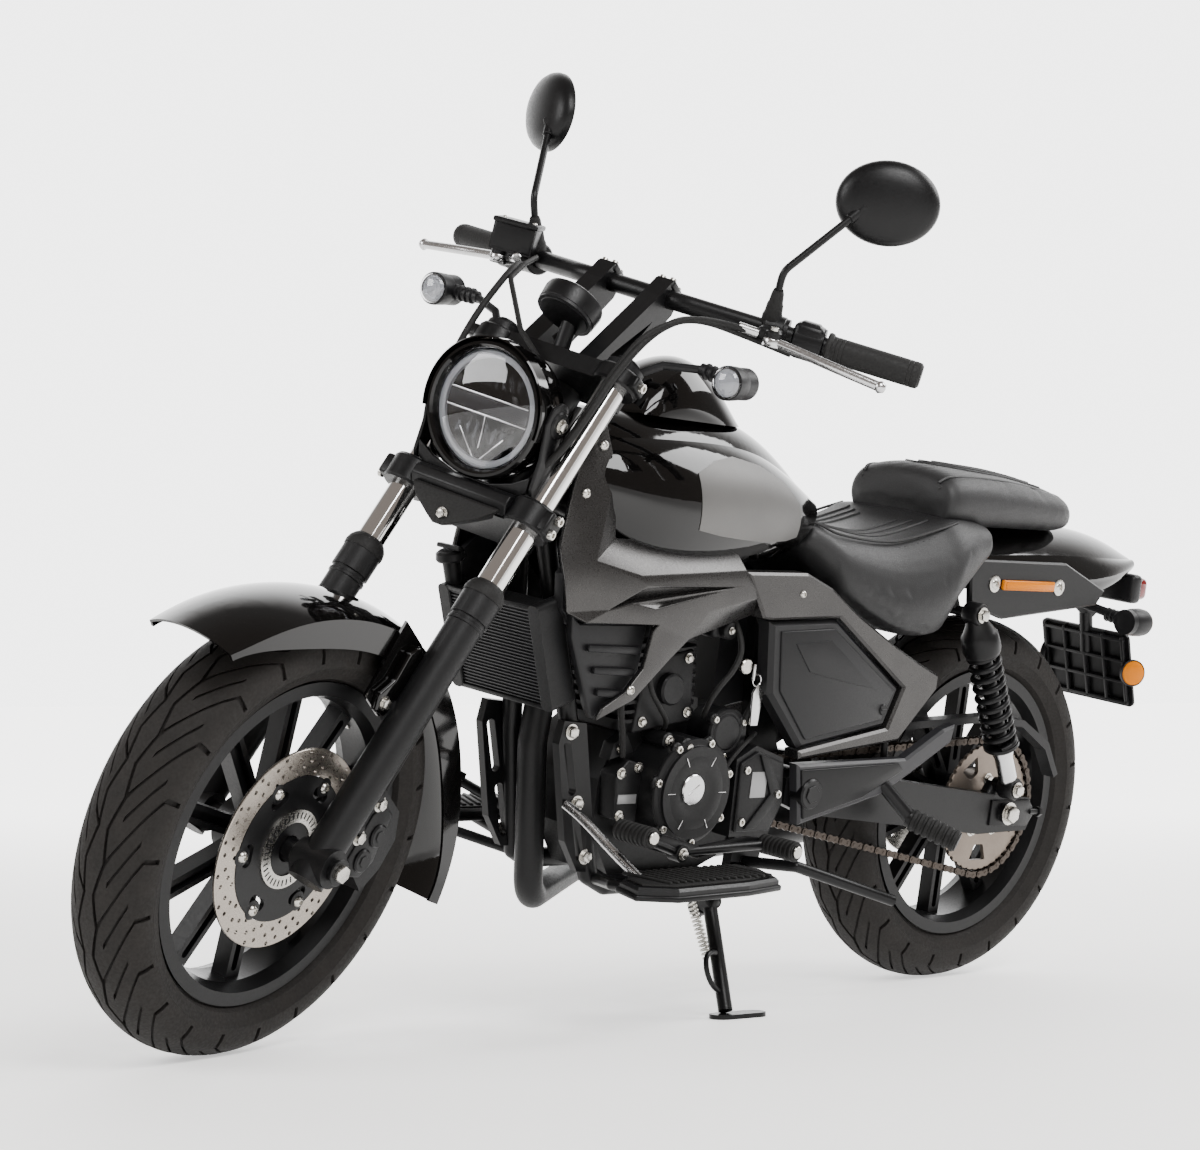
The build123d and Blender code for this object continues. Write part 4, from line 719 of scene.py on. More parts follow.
def plumped(piece):
    """Swell the cover over its foam by cloth pressure, no point further than the cap, then smooth it."""
    apply_modifier(piece, "REMESH", mode="VOXEL", voxel_size=COVER_VOXEL)
    start = [corner.co.copy() for corner in piece.data.vertices]
    take(piece)
    cloth = piece.modifiers.new("cover", "CLOTH")
    cloth.settings.use_pressure = True
    cloth.settings.uniform_pressure_force = COVER_PRESSURE
    cloth.settings.effector_weights.gravity = 0.0
    scene = bpy.context.scene
    for step in range(1, COVER_FRAMES + 1):
        scene.frame_set(step)
    bpy.ops.object.modifier_apply(modifier=cloth.name)
    scene.frame_set(1)
    for corner, home in zip(piece.data.vertices, start):
        moved = corner.co - home
        if moved.length > COVER_CAP:
            corner.co = home + moved.normalized() * COVER_CAP
    apply_modifier(piece, "SMOOTH", factor=0.5, iterations=3)
    return apply_modifier(piece, "SUBSURF", levels=1, render_levels=1)


def seat(name, node, rows, cuts=()):
    form = bridged([section_ring(row) for row in eased_rows(rows, 5)])
    for spot, way in cuts:
        cut_away(form, spot, way)
    rounded(form, 5, 3, 50)
    form.data.transform(CHASSIS)
    plumped(form)
    form.data.transform(CHASSIS.inverted())
    hand_over(form, name, "chassis", VINYL, (node,), crease=60)
    return form


rider = seat("rider_seat_cushion", "rider_seat", RIDER_ROWS, (((529, 0, 769), (0.83, 0, 0.55)),))
pillion = seat("pillion_seat_cushion", "pillion_seat", PILLION_ROWS)


def edge_run(rows, lift, column=5):
    """The line along the shoulder of a seat's sections, on the left."""
    return [Vector((row[0], row[column] + lift, row[column + 1] + lift)) for row in eased_rows(rows, 8)]


def quilting(cushion, loops, radius, lift):
    """Beads pressed half into the finished cover along plan-view lines."""
    made = []
    down = (CHASSIS.to_3x3() @ Vector((0, 0, -1))).normalized()
    for loop in loops:
        spots = []
        for x, y in loop:
            hit, spot, normal, face = cushion.ray_cast(CHASSIS @ Vector((x, y, OVERHEAD)), down)
            if hit:
                spots.append(INTO_DRAWING @ spot + (INTO_DRAWING.to_3x3() @ normal).normalized() * lift)
        if len(spots) > 2:
            made.append(strung(spots, radius))
    return made


def arch_loop(front, rear, half, count=28):
    """A plan-view loop open to the rear, rounded at the front."""
    left = []
    for i in range(count + 1):
        bend = max(0, (i / count - 0.55) / 0.45)
        left.append((rear + (front - rear) * i / count, half * min(1, sqrt(max(0, 1 - bend ** 2)))))
    return left + [(x, -y) for x, y in left[::-1][1:]]


rider_loops = [arch_loop(498, 250, 84), arch_loop(470, 262, 62), arch_loop(440, 274, 40)]
pillion_loops = [[(x, -y) for x, y in arch_loop(200, -60, 62)], arch_loop(176, -50, 44), arch_loop(150, -40, 26)]
beads = quilting(rider, rider_loops, 2.6, 0.4) + quilting(pillion, pillion_loops, 2.4, 0.4)
hand_over(joined(beads), "seat_quilting", "chassis", VINYL)
seams = [strung(edge_run(RIDER_ROWS[:-1], 1.8), 2.4), strung(edge_run(PILLION_ROWS, 1.8), 2.2)]
hand_over(both_sides(joined(seams)), "seat_piping", "chassis", VINYL)


def stitches(rows, drop):
    """Short threads in a row below the piping."""
    line = [spot + Vector((0, 5, -drop)) for spot in edge_run(rows, 0)]
    made = []
    for start, end in zip(line, line[1:]):
        span = (end - start).length
        for k in range(max(1, int(span / STITCH_PITCH))):
            made.append(facing(start.lerp(end, k * STITCH_PITCH / span), (end - start).normalized()))
    thread = rod((0, 0, -2.2), (0, 0, 2.2), 0.9, 0.4, 6)
    return copies(thread, made)


hand_over(both_sides(joined([stitches(RIDER_ROWS[:-1], 8), stitches(PILLION_ROWS, 7)])), "seat_stitching", "chassis",
          THREAD)

# Headlight: bucket and rim, clear dome, reflector with its light guide, cradle bracket
LAMP = on_fork(84, 0, 656)
FORK_HALF, LOWER_CLAMP, UPPER_CLAMP = 107, 557, 798


def lamp_at(x, y, z):
    return LAMP + Vector((x, y, z))


shell = turned(((-2, 84), (4, 86.5), (7, 90), (7, 94), (3, 97.2), (-3, 98), (-15, 98), (-17, 96.4), (-20, 97.4),
                (-42, 95.5), (-62, 90),
                (-78, 80), (-86, 66), (-88, 40), (-88, 0), (-80, 0), (-80, 60), (-70, 74), (-40, 84), (-12, 84),
                (-2, 84)), LAMP, AHEAD, 96)
hand_over(shell, "headlight_bucket", "steering", GLOSS_BLACK, ("headlight_shell",), crease=22)
visor = turned(((-4, 98.4), (8, 99.4), (10, 100.2), (8, 102), (-14, 101), (-17, 99), (-4, 98.4)), LAMP, AHEAD, 96)
open_up(visor)
bpy.ops.mesh.bisect(plane_co=lamp_at(0, 0, -20), plane_no=(0, 0, 1), clear_inner=True, use_fill=True)
bpy.ops.object.mode_set(mode="OBJECT")
hand_over(visor, "headlight_brow", "steering", GLOSS_BLACK, crease=25)
dome = turned(((-9, 83.4), (-3, 83.4), (0, 80), (4, 66), (8, 44), (10, 22), (10.6, 0)), LAMP, AHEAD, 72)
apply_modifier(dome, "SOLIDIFY", thickness=2.4, offset=-1)
hand_over(dome, "headlight_dome", "steering", CLEAR, ("headlight_lens",), crease=40)
ring = turned(((-11, 71), (-6, 72), (-5, 76), (-6, 81), (-11, 82), (-11, 71)), LAMP, AHEAD, 72)
hand_over(ring, "headlight_ring_guide", "steering", FROSTED)
bowl = turned(((-10, 83), (-14, 70), (-30, 56), (-46, 30), (-50, 0)), LAMP, AHEAD, 64)
hand_over(bowl, "headlight_reflector", "steering", GLOSS_BLACK)
band = block(lamp_at(-12, 0, 4), (9, 138, 22), 2.5, 3)
hand_over(band, "headlight_band", "steering", GREY_PLASTIC)
edges = [block(lamp_at(-8.5, 0, z), (5, w, 2.6), 0.8, 2) for z, w in ((17, 134), (-9, 138))]
edges.append(block(lamp_at(-9, 0, -33), (5, 2.4, 46), 0.8, 2))
edges += [block(lamp_at(-9, y * 22, -52), (5, 2.4, 48), 0.8, 2, tilt(-y * 42, "X")) for y in (1, -1)]
hand_over(joined(edges), "headlight_band_edges", "steering", ALLOY)
facets = [block(lamp_at(-19, y, 42), (14, 11.5, 40 - abs(y) * 0.35), 2, 2, tilt(18, "Y")) for y in range(-56, 57, 14)]
facets += [block(lamp_at(-21, y, -38), (14, 12, 38 - abs(y) * 0.4), 2, 2, tilt(-16, "Y")) for y in range(-45, 46, 15)]
hand_over(joined(facets), "headlight_facets", "steering", SMOKED_CHROME)

cheek = ((-50, 22), (-44, 34), (-30, 38), (-12, 30), (-2, 8), (-8, -44), (-2, -86), (-14, -112), (-48, -116),
         (-62, -96),
         (-54, -60), (-44, -18))
arms = [side_panel([(LAMP.x + x, LAMP.z + z) for x, z in cheek], 99.5, 105.5, 2.2, 3)]
arms.append(rod(lamp_at(-32, 98, 6), lamp_at(-32, 108.5, 6), 20, 2.4, 32))
cradle = both_sides(joined(arms))
apron = sheet_of([(-96, 0), (-98, 22), (-70, 6), (-30, -6), (30, -6), (70, 6), (98, 22), (96, 0), (74, -34), (30, -42),
                  (-30, -42), (-74, -34)],
                 lambda y, z: (LAMP.x - 4 + 0.18 * z, y, LAMP.z - 92 + z), Vector((-7, 0, 0)), 2.4, 3)
shelf = block(lamp_at(-34, 0, -118), (60, 120, 9), 3, 2)
hand_over(joined([cradle, apron, shelf]), "headlight_cradle", "steering", SATIN_BLACK, ("headlight_bracket",))
bolts("headlight_bolts", "steering", ZINC, bolt(8.5, 6),
      on_both(lamp_at(-32, 108.5, 6)) + [(*lamp_at(-8, y, -108), *AHEAD) for y in (38, -38)])

# Triple clamps: pinch lugs with their bolts, faceted bar between the legs, top cap nuts
lug_bar = sheet_of([(26, -17), (38, -6), (38, 8), (26, 18), (14, 18), (14, -17)],
                   lambda u, w: on_fork(u, -84, LOWER_CLAMP + w), Vector((0, 168, 0)), 2.5, 3)
lugs = [lug_bar]
for y in (1, -1):
    for w, height in ((LOWER_CLAMP, 38), (UPPER_CLAMP, 26)):
        lugs.append(turned(((-height / 2, 33), (-height / 2 + 3, 35.4), (height / 2 - 3, 35.4), (height / 2, 33)),
                           on_fork(0, y * FORK_HALF, w), FORK_Z, 40))
        lugs.append(block(on_fork(4, y * 138, w), (34, 22, height - 6), 4, 3, Matrix.Rotation(-RAKE, 4, "Y")))
hand_over(joined(lugs), "triple_clamp_lugs", "steering", SATIN_BLACK)
clamp_spots = [(*on_fork(4, y * 149, w), 0, y, 0) for y in (1, -1)
               for w in (LOWER_CLAMP + 11, LOWER_CLAMP - 11, UPPER_CLAMP)]
bolts("triple_clamp_bolts", "steering", ZINC, bolt(7, 6, "socket"), clamp_spots)
yoke_bracket = sheet_of([(-76, 541), (76, 541), (58, 520), (26, 500), (8, 490), (-8, 490), (-26, 500), (-58, 520)],
                        lambda y, w: on_fork(36, y, w), Vector((-40, 0, 0)), 3, 3)
hand_over(yoke_bracket, "lower_yoke_bracket", "steering", RUBBER)
bolts("lower_yoke_bracket_bolt", "steering", ZINC, bolt(7, 6), [(*on_fork(36, 0, 508), *AHEAD)])
caps = [rod(on_fork(0, y * FORK_HALF, 822), on_fork(0, y * FORK_HALF, 832), 19, 2.5, 32) for y in (1, -1)]
hand_over(joined(caps), "fork_top_caps", "steering", SATIN_BLACK)
bolts("stem_nut", "steering", ZINC, bolt(15, 8), [(*on_fork(-52, 0, 820), *FORK_Z)])

# Fork sliders: dust seals, wear rings and the fender stay with its bolt
seals = [turned(((424, 22), (424, 29.5), (430, 30), (438, 28), (444, 24), (447, 21)),
                on_fork(0, y * FORK_HALF, 0), FORK_Z, 40)
         for y in (1, -1)]
hand_over(joined(seals), "fork_dust_seals", "steering", RUBBER, crease=25)
rings = [turned(((w, 26), (w + 1, 27.6), (w + 5, 27.6), (w + 6, 26)), on_fork(0, y * FORK_HALF, 0), FORK_Z, 40)
         for y in (1, -1) for w in (378, 396)]
hand_over(joined(rings), "fork_slider_rings", "steering", MATTE_BLACK)
stay = side_panel([(1300, 560), (1330, 598), (1352, 590), (1372, 552), (1398, 536), (1400, 512), (1380, 502),
                   (1352, 520), (1322, 530)], 78, 90, 3, 3)
hand_over(both_sides(stay), "fender_stays", "steering", GLOSS_BLACK)
bolts("fender_stay_bolts", "steering", ZINC, bolt(8, 6), on_both((1386, 90, 522)) + on_both((1322, 90, 556)))

# Front caliper: face plate, piston caps and mounting bolts
PISTONS = ((1332, 327), (1356, 294))
caps = [rod((x, 90, z), (x, 97, z), 17, 2.2, 32) for x, z in PISTONS]
caps += [rod((x, 97, z), (x, 98.4, z), 9, 0.6, 6) for x, z in PISTONS]
caps.append(side_panel([(1308, 356), (1330, 372), (1352, 360), (1386, 300), (1376, 272), (1352, 268), (1328, 288)], 88,
                       92.5, 2.5, 3))
hand_over(joined(caps), "front_caliper_caps", "steering", SATIN_BLACK)
bolts("front_caliper_bolts", "steering", ZINC, bolt(9, 7), [(1350, 96, 377), (1381, 96, 332)])

# Mirror glass; the shell that holds it comes with the bar's furniture
BAR = on_fork(-62, 0, 978)
MIRROR_HEAD = Vector((BAR.x - 128, 303, BAR.z + 210))
MIRROR_OUT = Vector((0.85, 0.53, 0.05)).normalized()
glass = turned(((0, 0), (0, 0.955), (0.9, 0.955), (1.2, 0.93), (1.2, 0)), ORIGIN, UP, 64)
across = Vector((-0.53, 0.85, 0.12)).normalized()
tall = MIRROR_OUT.cross(across)
glass.data.transform(Matrix.Translation(MIRROR_HEAD - MIRROR_OUT * 8.1) @ axes(across * 71, tall * 57.5, -MIRROR_OUT))
hand_over(both_sides(glass), "mirror_glass", "steering", MIRROR_GLASS)


# Body: faceted shrouds with their scoops, tank panel, cover insets, reflectors and rear furniture
def faceted(corners, faces):
    """Flat facets drawn one by one between named corners and welded into one skin facing left."""
    skin = joined([pulled([corners[key] for key in face], "NGON") for face in faces])
    open_up(skin)
    bpy.ops.mesh.remove_doubles(threshold=0.1)
    close_up(skin)
    if sum(face.normal.y * face.area for face in skin.data.polygons) < 0:
        skin.data.flip_normals()
    return skin


SHROUD_CORNERS = {
    "horn_top": (990, 84, 902), "horn_front": (1020, 84, 892), "horn_mid": (1054, 98, 806),
    "horn_rear": (971, 96, 838),
    "front_top": (1078, 112, 729), "front_low": (1073, 126, 681), "nose": (1067, 130, 637), "chin": (1040, 146, 625),
    "brow": (1030, 138, 712), "tank_front": (974, 114, 744), "ridge_top": (948, 152, 695), "ridge": (938, 157, 681),
    "rear_top": (728, 147, 709), "tank_rear": (728, 116, 740), "pocket_front": (1004, 150, 645),
    "pocket_deep": (984, 138, 652), "pocket_back": (766, 144, 682), "pocket_tip": (745, 152, 684),
    "rib": (964, 154, 656),
    "blade": (916, 154, 648), "blade_deep": (890, 145, 655), "scoop_top": (904, 154, 625), "crease": (802, 152, 647),
    "seam_low": (674, 147, 672), "arrow_rear": (833, 149, 604), "under_rear": (684, 126, 638),
    "edge_a": (911, 151, 616),
    "edge_b": (920, 149, 560), "edge_c": (947, 147, 526), "edge_d": (987, 145, 502), "arrow_b": (868, 147, 572),
    "arrow_c": (926, 144, 514), "arrow_tip": (994, 142, 484)}
SHROUD_FACETS = (
    ("horn_top", "horn_front", "horn_mid", "horn_rear"), ("horn_mid", "front_top", "brow", "horn_rear"),
    ("horn_rear", "brow", "tank_front"), ("brow", "ridge_top", "tank_front"),
    ("front_top", "front_low", "brow"), ("front_low", "pocket_front", "brow"), ("brow", "pocket_front", "ridge"),
    ("brow", "ridge", "ridge_top"), ("front_low", "nose", "pocket_front"), ("nose", "chin", "pocket_front"),
    ("ridge_top", "rear_top", "tank_rear", "tank_front"), ("ridge_top", "ridge", "rear_top"),
    ("ridge", "pocket_tip", "rear_top"),
    ("pocket_front", "pocket_deep", "ridge"), ("pocket_deep", "pocket_back", "ridge"),
    ("pocket_back", "pocket_tip", "ridge"),
    ("pocket_front", "rib", "pocket_deep"), ("rib", "pocket_tip", "pocket_deep"),
    ("pocket_tip", "pocket_back", "pocket_deep"),
    ("rib", "blade", "blade_deep"), ("blade", "pocket_tip", "blade_deep"), ("pocket_tip", "rib", "blade_deep"),
    ("pocket_front", "chin", "scoop_top", "rib"), ("rib", "scoop_top", "blade"), ("blade", "scoop_top", "crease"),
    ("blade", "crease", "pocket_tip"), ("pocket_tip", "crease", "seam_low"), ("pocket_tip", "seam_low", "rear_top"),
    ("scoop_top", "edge_a", "edge_b", "arrow_b", "arrow_rear"), ("edge_b", "edge_c", "arrow_c", "arrow_b"),
    ("edge_c", "edge_d", "arrow_tip", "arrow_c"), ("crease", "scoop_top", "arrow_rear"),
    ("crease", "arrow_rear", "under_rear", "seam_low"))
shroud = faceted(SHROUD_CORNERS, SHROUD_FACETS)
liner = faceted(SHROUD_CORNERS, SHROUD_FACETS)
apply_modifier(liner, "DISPLACE", strength=-6.6, mid_level=0)
apply_modifier(liner, "SOLIDIFY", thickness=1, offset=-1)
hand_over(both_sides(liner), "shroud_liners", "chassis", DARK_PLASTIC, crease=24)
apply_modifier(shroud, "SOLIDIFY", thickness=6, offset=-1, use_quality_normals=True)
rounded(shroud, 1.8, 3, 14)
hand_over(both_sides(shroud), "faceted_shrouds", "chassis", GRAPHITE, ("shrouds",), crease=24)
scoop = [side_panel([(1056, 634), (1040, 622), (906, 622), (912, 556), (942, 520), (992, 484), (1004, 500),
                     (1052, 600)], 118, 132, 3, 3)]
for z, start, end in ((588, 1024, 922), (556, 1008, 926), (524, 996, 946)):
    scoop.append(sheet_of([(start, z + 5), (end, z + 3), (end, z - 9), (start, z - 5)], lambda x, h: (x, 131, h),
                          Vector((0, 9, 0)), 3, 2))
scoop.append(side_panel([(1066, 640), (1072, 690), (1040, 720), (960, 700), (900, 640), (900, 615), (1040, 615)],
                        100, 118, 2, 2))
hand_over(both_sides(joined(scoop)), "shroud_scoops", "chassis", DARK_PLASTIC)
bolts("shroud_bolts", "chassis", ZINC, bolt(7.5, 4, "button"),
      [(939, 148, 529), (1033, 103, 803, 0.3, 1, 0), (1000, 93, 872, 0.3, 1, 0),
       (939, -148, 529, 0, -1, 0), (1033, -103, 803, 0.3, -1, 0)])


def on_node(name, start, way):
    """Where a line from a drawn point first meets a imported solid, with the way the surface faces."""
    node = frame["nodes"][name]
    hit, spot, normal, face = node.ray_cast(CHASSIS @ Vector(start), (CHASSIS.to_3x3() @ Vector(way)).normalized())
    if not hit:
        return None
    return INTO_DRAWING @ spot, (INTO_DRAWING.to_3x3() @ normal).normalized()


OUTBOARD = 400
FILM_THICK, FILM_GAP = 0.9, 0.2


def draped_panel(node, upper, lower, columns, rows, lift):
    """A thin film laid on a solid's left side between an upper and a lower edge."""
    clear_bench()
    bpy.ops.mesh.primitive_grid_add(x_subdivisions=columns, y_subdivisions=rows)
    film = bpy.context.object

    def along(edge, share):
        place = share * (len(edge) - 1)
        i = min(int(place), len(edge) - 2)
        return Vector(edge[i]).lerp(Vector(edge[i + 1]), place - i)

    for corner in film.data.vertices:
        column, row = corner.index % (columns + 1), corner.index // (columns + 1)
        flat = along(lower, column / columns).lerp(along(upper, column / columns), row / rows)
        found = on_node(node, (flat.x, OUTBOARD, flat.y), (0, -1, 0))
        corner.co = found[0] + Vector((0, lift, 0)) + found[1] * FILM_GAP if found else (flat.x, 100, flat.y)
    return apply_modifier(film, "SOLIDIFY", thickness=FILM_THICK, offset=0)


badge = draped_panel("fuel_tank", ((842, 846), (800, 864), (752, 872), (690, 862), (632, 840), (590, 806)),
                     ((838, 764), (790, 757), (740, 753), (680, 750), (620, 752), (588, 758)), 30, 14, 0.5)
hand_over(both_sides(badge), "tank_side_panels", "chassis", TANK_PANEL)

insets = [side_panel([(634, 618), (512, 624), (352, 526), (374, 480), (548, 450), (620, 526)], 144, 149, 2.4, 3),
          side_panel([(600, 600), (520, 606), (400, 530), (470, 540), (560, 556)], 148, 150.5, 1.4, 2)]
hand_over(both_sides(joined(insets)), "side_cover_insets", "chassis", DARK_PLASTIC)
fastener = joined([rod((373, 147, 496), (373, 151, 496), 9, 1.2, 24),
                   block((373, 151.4, 496), (13, 1.4, 2.6), 0.4, 1)])
hand_over(both_sides(fastener), "side_cover_fasteners", "chassis", SATIN_BLACK)
bolts("frame_cover_bolts", "chassis", ZINC, bolt(6, 4, "button"), on_both((600, 150, 676)))
pivot_trim = side_panel([(552, 404), (534, 326), (400, 356), (306, 398), (320, 410)], 149, 154, 2.4, 3)
pivot_trim = joined([pivot_trim, rod((525, 130, 366), (525, 158, 366), 24, 2.5, 32),
                     rod((525, 158, 366), (525, 160, 366), 15, 1, 6)])
hand_over(both_sides(pivot_trim), "pivot_cover_trim", "chassis", SATIN_BLACK)

# Fender struts: amber bar between two washered bolts
STRUT_BOLTS = on_both((96, 118, 699), (-80, 118, 697))
bar = joined([block((8, 121, 698), (140, 8, 17), 3, 3), block((8, 125, 698), (130, 3, 10), 1.2, 2)])
hand_over(both_sides(bar), "amber_side_reflectors", "chassis", AMBER)
bolts("fender_strut_bolts", "chassis", ZINC, bolt(10, 5, "button"), STRUT_BOLTS)
washer = turned(((0, 8), (0, 14), (1.8, 14), (2.4, 12), (2.4, 8)), ORIGIN, UP, 24)
hand_over(copies(washer, [facing(spot[:3], spot[3:]) for spot in STRUT_BOLTS]), "fender_strut_washers", "chassis",
          ZINC)

# Tail lamp, plate lattice and round reflectors
housing = joined([block((-390, 0, 691), (30, 128, 52), 9, 3), rod((-350, 0, 744), (-392, 0, 694), 16, 2, 24)])
hand_over(housing, "tail_lamp_housing", "chassis", DARK_PLASTIC, ("tail_light",))
glow_lens = [block((-414, 0, 691), (36, 116, 40), 11, 4)]
glow_lens += [block((-420, y, 691), (28, 2.2, 30), 0.8, 1) for y in (-36, -18, 0, 18, 36)]
hand_over(joined(glow_lens), "tail_lamp_lens", "chassis", RED_LENS, ("tail_light",))
PLATE_UP = Vector((0.352, 0, 0.936))
PLATE_FRONT = Vector((0.936, 0, -0.352))
PLATE_TURN = axes(PLATE_FRONT, LEFT, PLATE_UP)
LATTICE = Vector((-360, 0, 548)) + PLATE_FRONT * 4
lattice = [block(LATTICE + Vector((0, y, 0)), (8, 6, 132), 1.4, 2, PLATE_TURN) for y in (-84, -42, 0, 42, 84)]
lattice += [block(LATTICE + PLATE_UP * h, (8, 176, 6), 1.4, 2, PLATE_TURN) for h in (-60, -20, 20, 60)]
hand_over(joined(lattice), "plate_holder_lattice", "chassis", DARK_PLASTIC)
EYES = [facing((-364, y * 92, 546), (0.45, y, 0.05)) for y in (1, -1)]
eye = turned(((0, 0), (0, 22), (3, 24), (9, 24), (10, 22)), ORIGIN, UP, 40)
hand_over(copies(eye, EYES), "round_reflector_cups", "chassis", DARK_PLASTIC)
spot = turned(((8, 22), (10.5, 21), (12.5, 15), (13.2, 8), (13.4, 0)), ORIGIN, UP, 40)
hand_over(copies(spot, EYES), "round_amber_reflectors", "chassis", AMBER)
REAR_SIGNAL = (-248, 142, 644)
lamp_head = turned(((0, 0), (2, 14), (10, 21), (24, 24), (44, 24.5), (54, 23), (54, 0)), REAR_SIGNAL, (-1, 0, 0), 40)
ribs = [turned(((s, 10), (s + 2, 12.4), (s + 4, 12.4), (s + 6, 10)), (-272, 84, 650), (-0.02, 1, -0.1), 24)
        for s in (4, 13, 22, 31)]
hand_over(both_sides(joined([lamp_head] + ribs)), "rear_signal_bodies", "chassis", DARK_PLASTIC)
glow = turned(((53, 22), (58, 21), (62, 14), (63, 0)), REAR_SIGNAL, (-1, 0, 0), 40)
hand_over(both_sides(glow), "rear_signal_lenses", "chassis", AMBER)

# Shocks: spring coil, bright lower rod, spring seats and rubber boot
SHOCK_LOW, SHOCK_TOP = Vector((18, 150, 360)), Vector((177, 150, 653))
SHOCK_WAY = (SHOCK_TOP - SHOCK_LOW).normalized()
SHOCK_REACH = (SHOCK_TOP - SHOCK_LOW).length
COIL_STEPS = 12
COIL_SWELL = 1.03  # a smooth line cuts the corners of its route, so the route runs a little wide


def coil(start, way, radius, wire, reach, turns, detail=2):
    """A coil spring wound about a line."""
    way = Vector(way).normalized()
    side = way.orthogonal().normalized()
    other = way.cross(side)
    count = int(turns * COIL_STEPS)
    route = []
    for i in range(count + 1):
        turn = 2 * pi * i / COIL_STEPS
        out = (side * cos(turn) + other * sin(turn)) * radius * COIL_SWELL
        route.append(Vector(start) + way * (reach * i / count) + out)
    return tube(route, wire, detail)


spring = coil(SHOCK_LOW + SHOCK_WAY * 88, SHOCK_WAY, 24, 5.2, SHOCK_REACH - 88 - 66, 9.5)
hand_over(both_sides(spring), "shock_coils", "chassis", SATIN_BLACK, ("shock_springs",), crease=60)
seats = turned(((80, 14), (80, 27), (83, 30), (88, 30), (90, 22), (90, 13)), SHOCK_LOW, SHOCK_WAY, 40)
boot = turned([(SHOCK_REACH - down, radius) for down, radius in (
    (72, 12), (72, 30), (66, 32), (40, 31), (34, 27), (20, 20), (8, 17), (8, 0))], SHOCK_LOW, SHOCK_WAY, 40)
piston = turned(((84, 13), (200, 13), (SHOCK_REACH - 70, 13)), SHOCK_LOW, SHOCK_WAY, 24)
eyes = [turned(((-15, 9), (-15, 17), (-12, 19), (12, 19), (15, 17), (15, 9)), centre, LEFT, 32)
        for centre in (SHOCK_LOW, SHOCK_TOP)]
hand_over(both_sides(joined([seats, boot, piston] + eyes)), "shock_bodies", "chassis", SATIN_BLACK, ("shock_dampers",))
lower_rod = turned(((10, 0), (10, 11), (14, 13), (22, 15.5), (62, 15.5), (70, 18), (80, 18), (82, 13)), SHOCK_LOW,
                   SHOCK_WAY, 32)
hand_over(both_sides(lower_rod), "shock_lower_rods", "chassis", ALLOY, ("shock_dampers",))
bolts("shock_bolts", "chassis", ZINC, bolt(10, 7), on_both((SHOCK_LOW.x, 166, SHOCK_LOW.z),
                                                           (SHOCK_TOP.x, 166, SHOCK_TOP.z)))

# Swingarm ends: chain adjusters
adjuster = side_panel([(-78, 302), (-84, 312), (-66, 334), (36, 336), (36, 292), (-66, 288)], 128, 133, 2, 2)
adjuster = joined([adjuster, rod((-70, 131, 313), (-104, 131, 311), 5, 1, 16),
                   rod((-92, 131, 311.6), (-100, 131, 311.2), 9, 1, 6)])
hand_over(both_sides(adjuster), "chain_adjusters", "chassis", SATIN_BLACK)

# Engine: alternator cover, caps, sprocket cover, labels, wires, radiator core, foot controls and stand
GENERATOR, TIMING = Vector((765, 0, 372)), Vector((692, 0, 458))
COVER_BOLTS, TIMING_BOLTS = (0.2, 1.0, 1.9, 2.8, 3.7, 4.6, 5.5), (0.6, 2.7, 4.8)
face = turned(((126, 80), (128, 81), (131, 80), (133, 76), (133.5, 71)), GENERATOR, LEFT, 72)
rim = turned(((133, 72), (137, 66), (139.6, 58), (141, 48), (141.4, 36), (140.2, 32), (140.2, 20)),
             GENERATOR, LEFT, 72)
notch = block(ORIGIN, (16, 2.4, 1.6), 0.6, 2)
notches = copies(notch, spokes(GENERATOR + Vector((0, 140.4, 0)), 54, shares(6)))
pads = copies(rod(ORIGIN, (0, 0, 9), 10, 2, 20), leftward(on_ring(GENERATOR, 122, 77, COVER_BOLTS)))
hand_over(joined([face, rim, pads]), "alternator_cover_face", "chassis", MATTE_BLACK, crease=28)
hand_over(notches, "alternator_cover_ticks", "chassis", ALLOY)
bolts("alternator_cover_bolts", "chassis", ZINC, bolt(6, 5, "socket"),
      on_ring(GENERATOR, 131, 77, COVER_BOLTS))
plug = joined([turned(((138, 23), (143, 23), (144.4, 21.6), (144.8, 18), (144.9, 0)), Vector((776, 0, 378)), LEFT, 40),
               block((776, 144.9, 378), (26, 1.6, 2.2), 0.5, 2, tilt(35, "Y"))])
hand_over(plug, "alternator_plug", "chassis", ALLOY)
cap = turned(((100, 36), (113, 37), (117, 35), (118, 31), (116.6, 28), (118.4, 25), (118.4, 0)), TIMING, LEFT, 48)
lobes = copies(rod(ORIGIN, (0, 0, 12), 9, 1.6, 18), leftward(on_ring(TIMING, 106, 36, TIMING_BOLTS)))
hand_over(joined([cap, lobes]), "timing_cap", "chassis", MATTE_BLACK, crease=28)
bolts("timing_cap_bolts", "chassis", ZINC, bolt(5, 4, "socket"), on_ring(TIMING, 118, 36, TIMING_BOLTS))
sprocket_cover = [side_panel([(670, 308), (674, 414), (638, 432), (582, 414), (573, 352), (594, 308)], 133, 140, 4, 3)]
sprocket_cover.append(side_panel([(654, 313), (630, 313), (578, 366), (620, 423), (638, 428), (604, 366)],
                                 139, 144, 1.6, 2))
hand_over(joined(sprocket_cover), "sprocket_cover_face", "chassis", MATTE_BLACK)
bolts("sprocket_cover_bolts", "chassis", ZINC, bolt(6, 5, "socket"),
      [(662, 139, 404), (591, 143.4, 366), (660, 139, 324)])
hand_over(block((632, 140.6, 381), (34, 1.4, 40), 0.6, 2), "sprocket_cover_label", "chassis", LABEL)
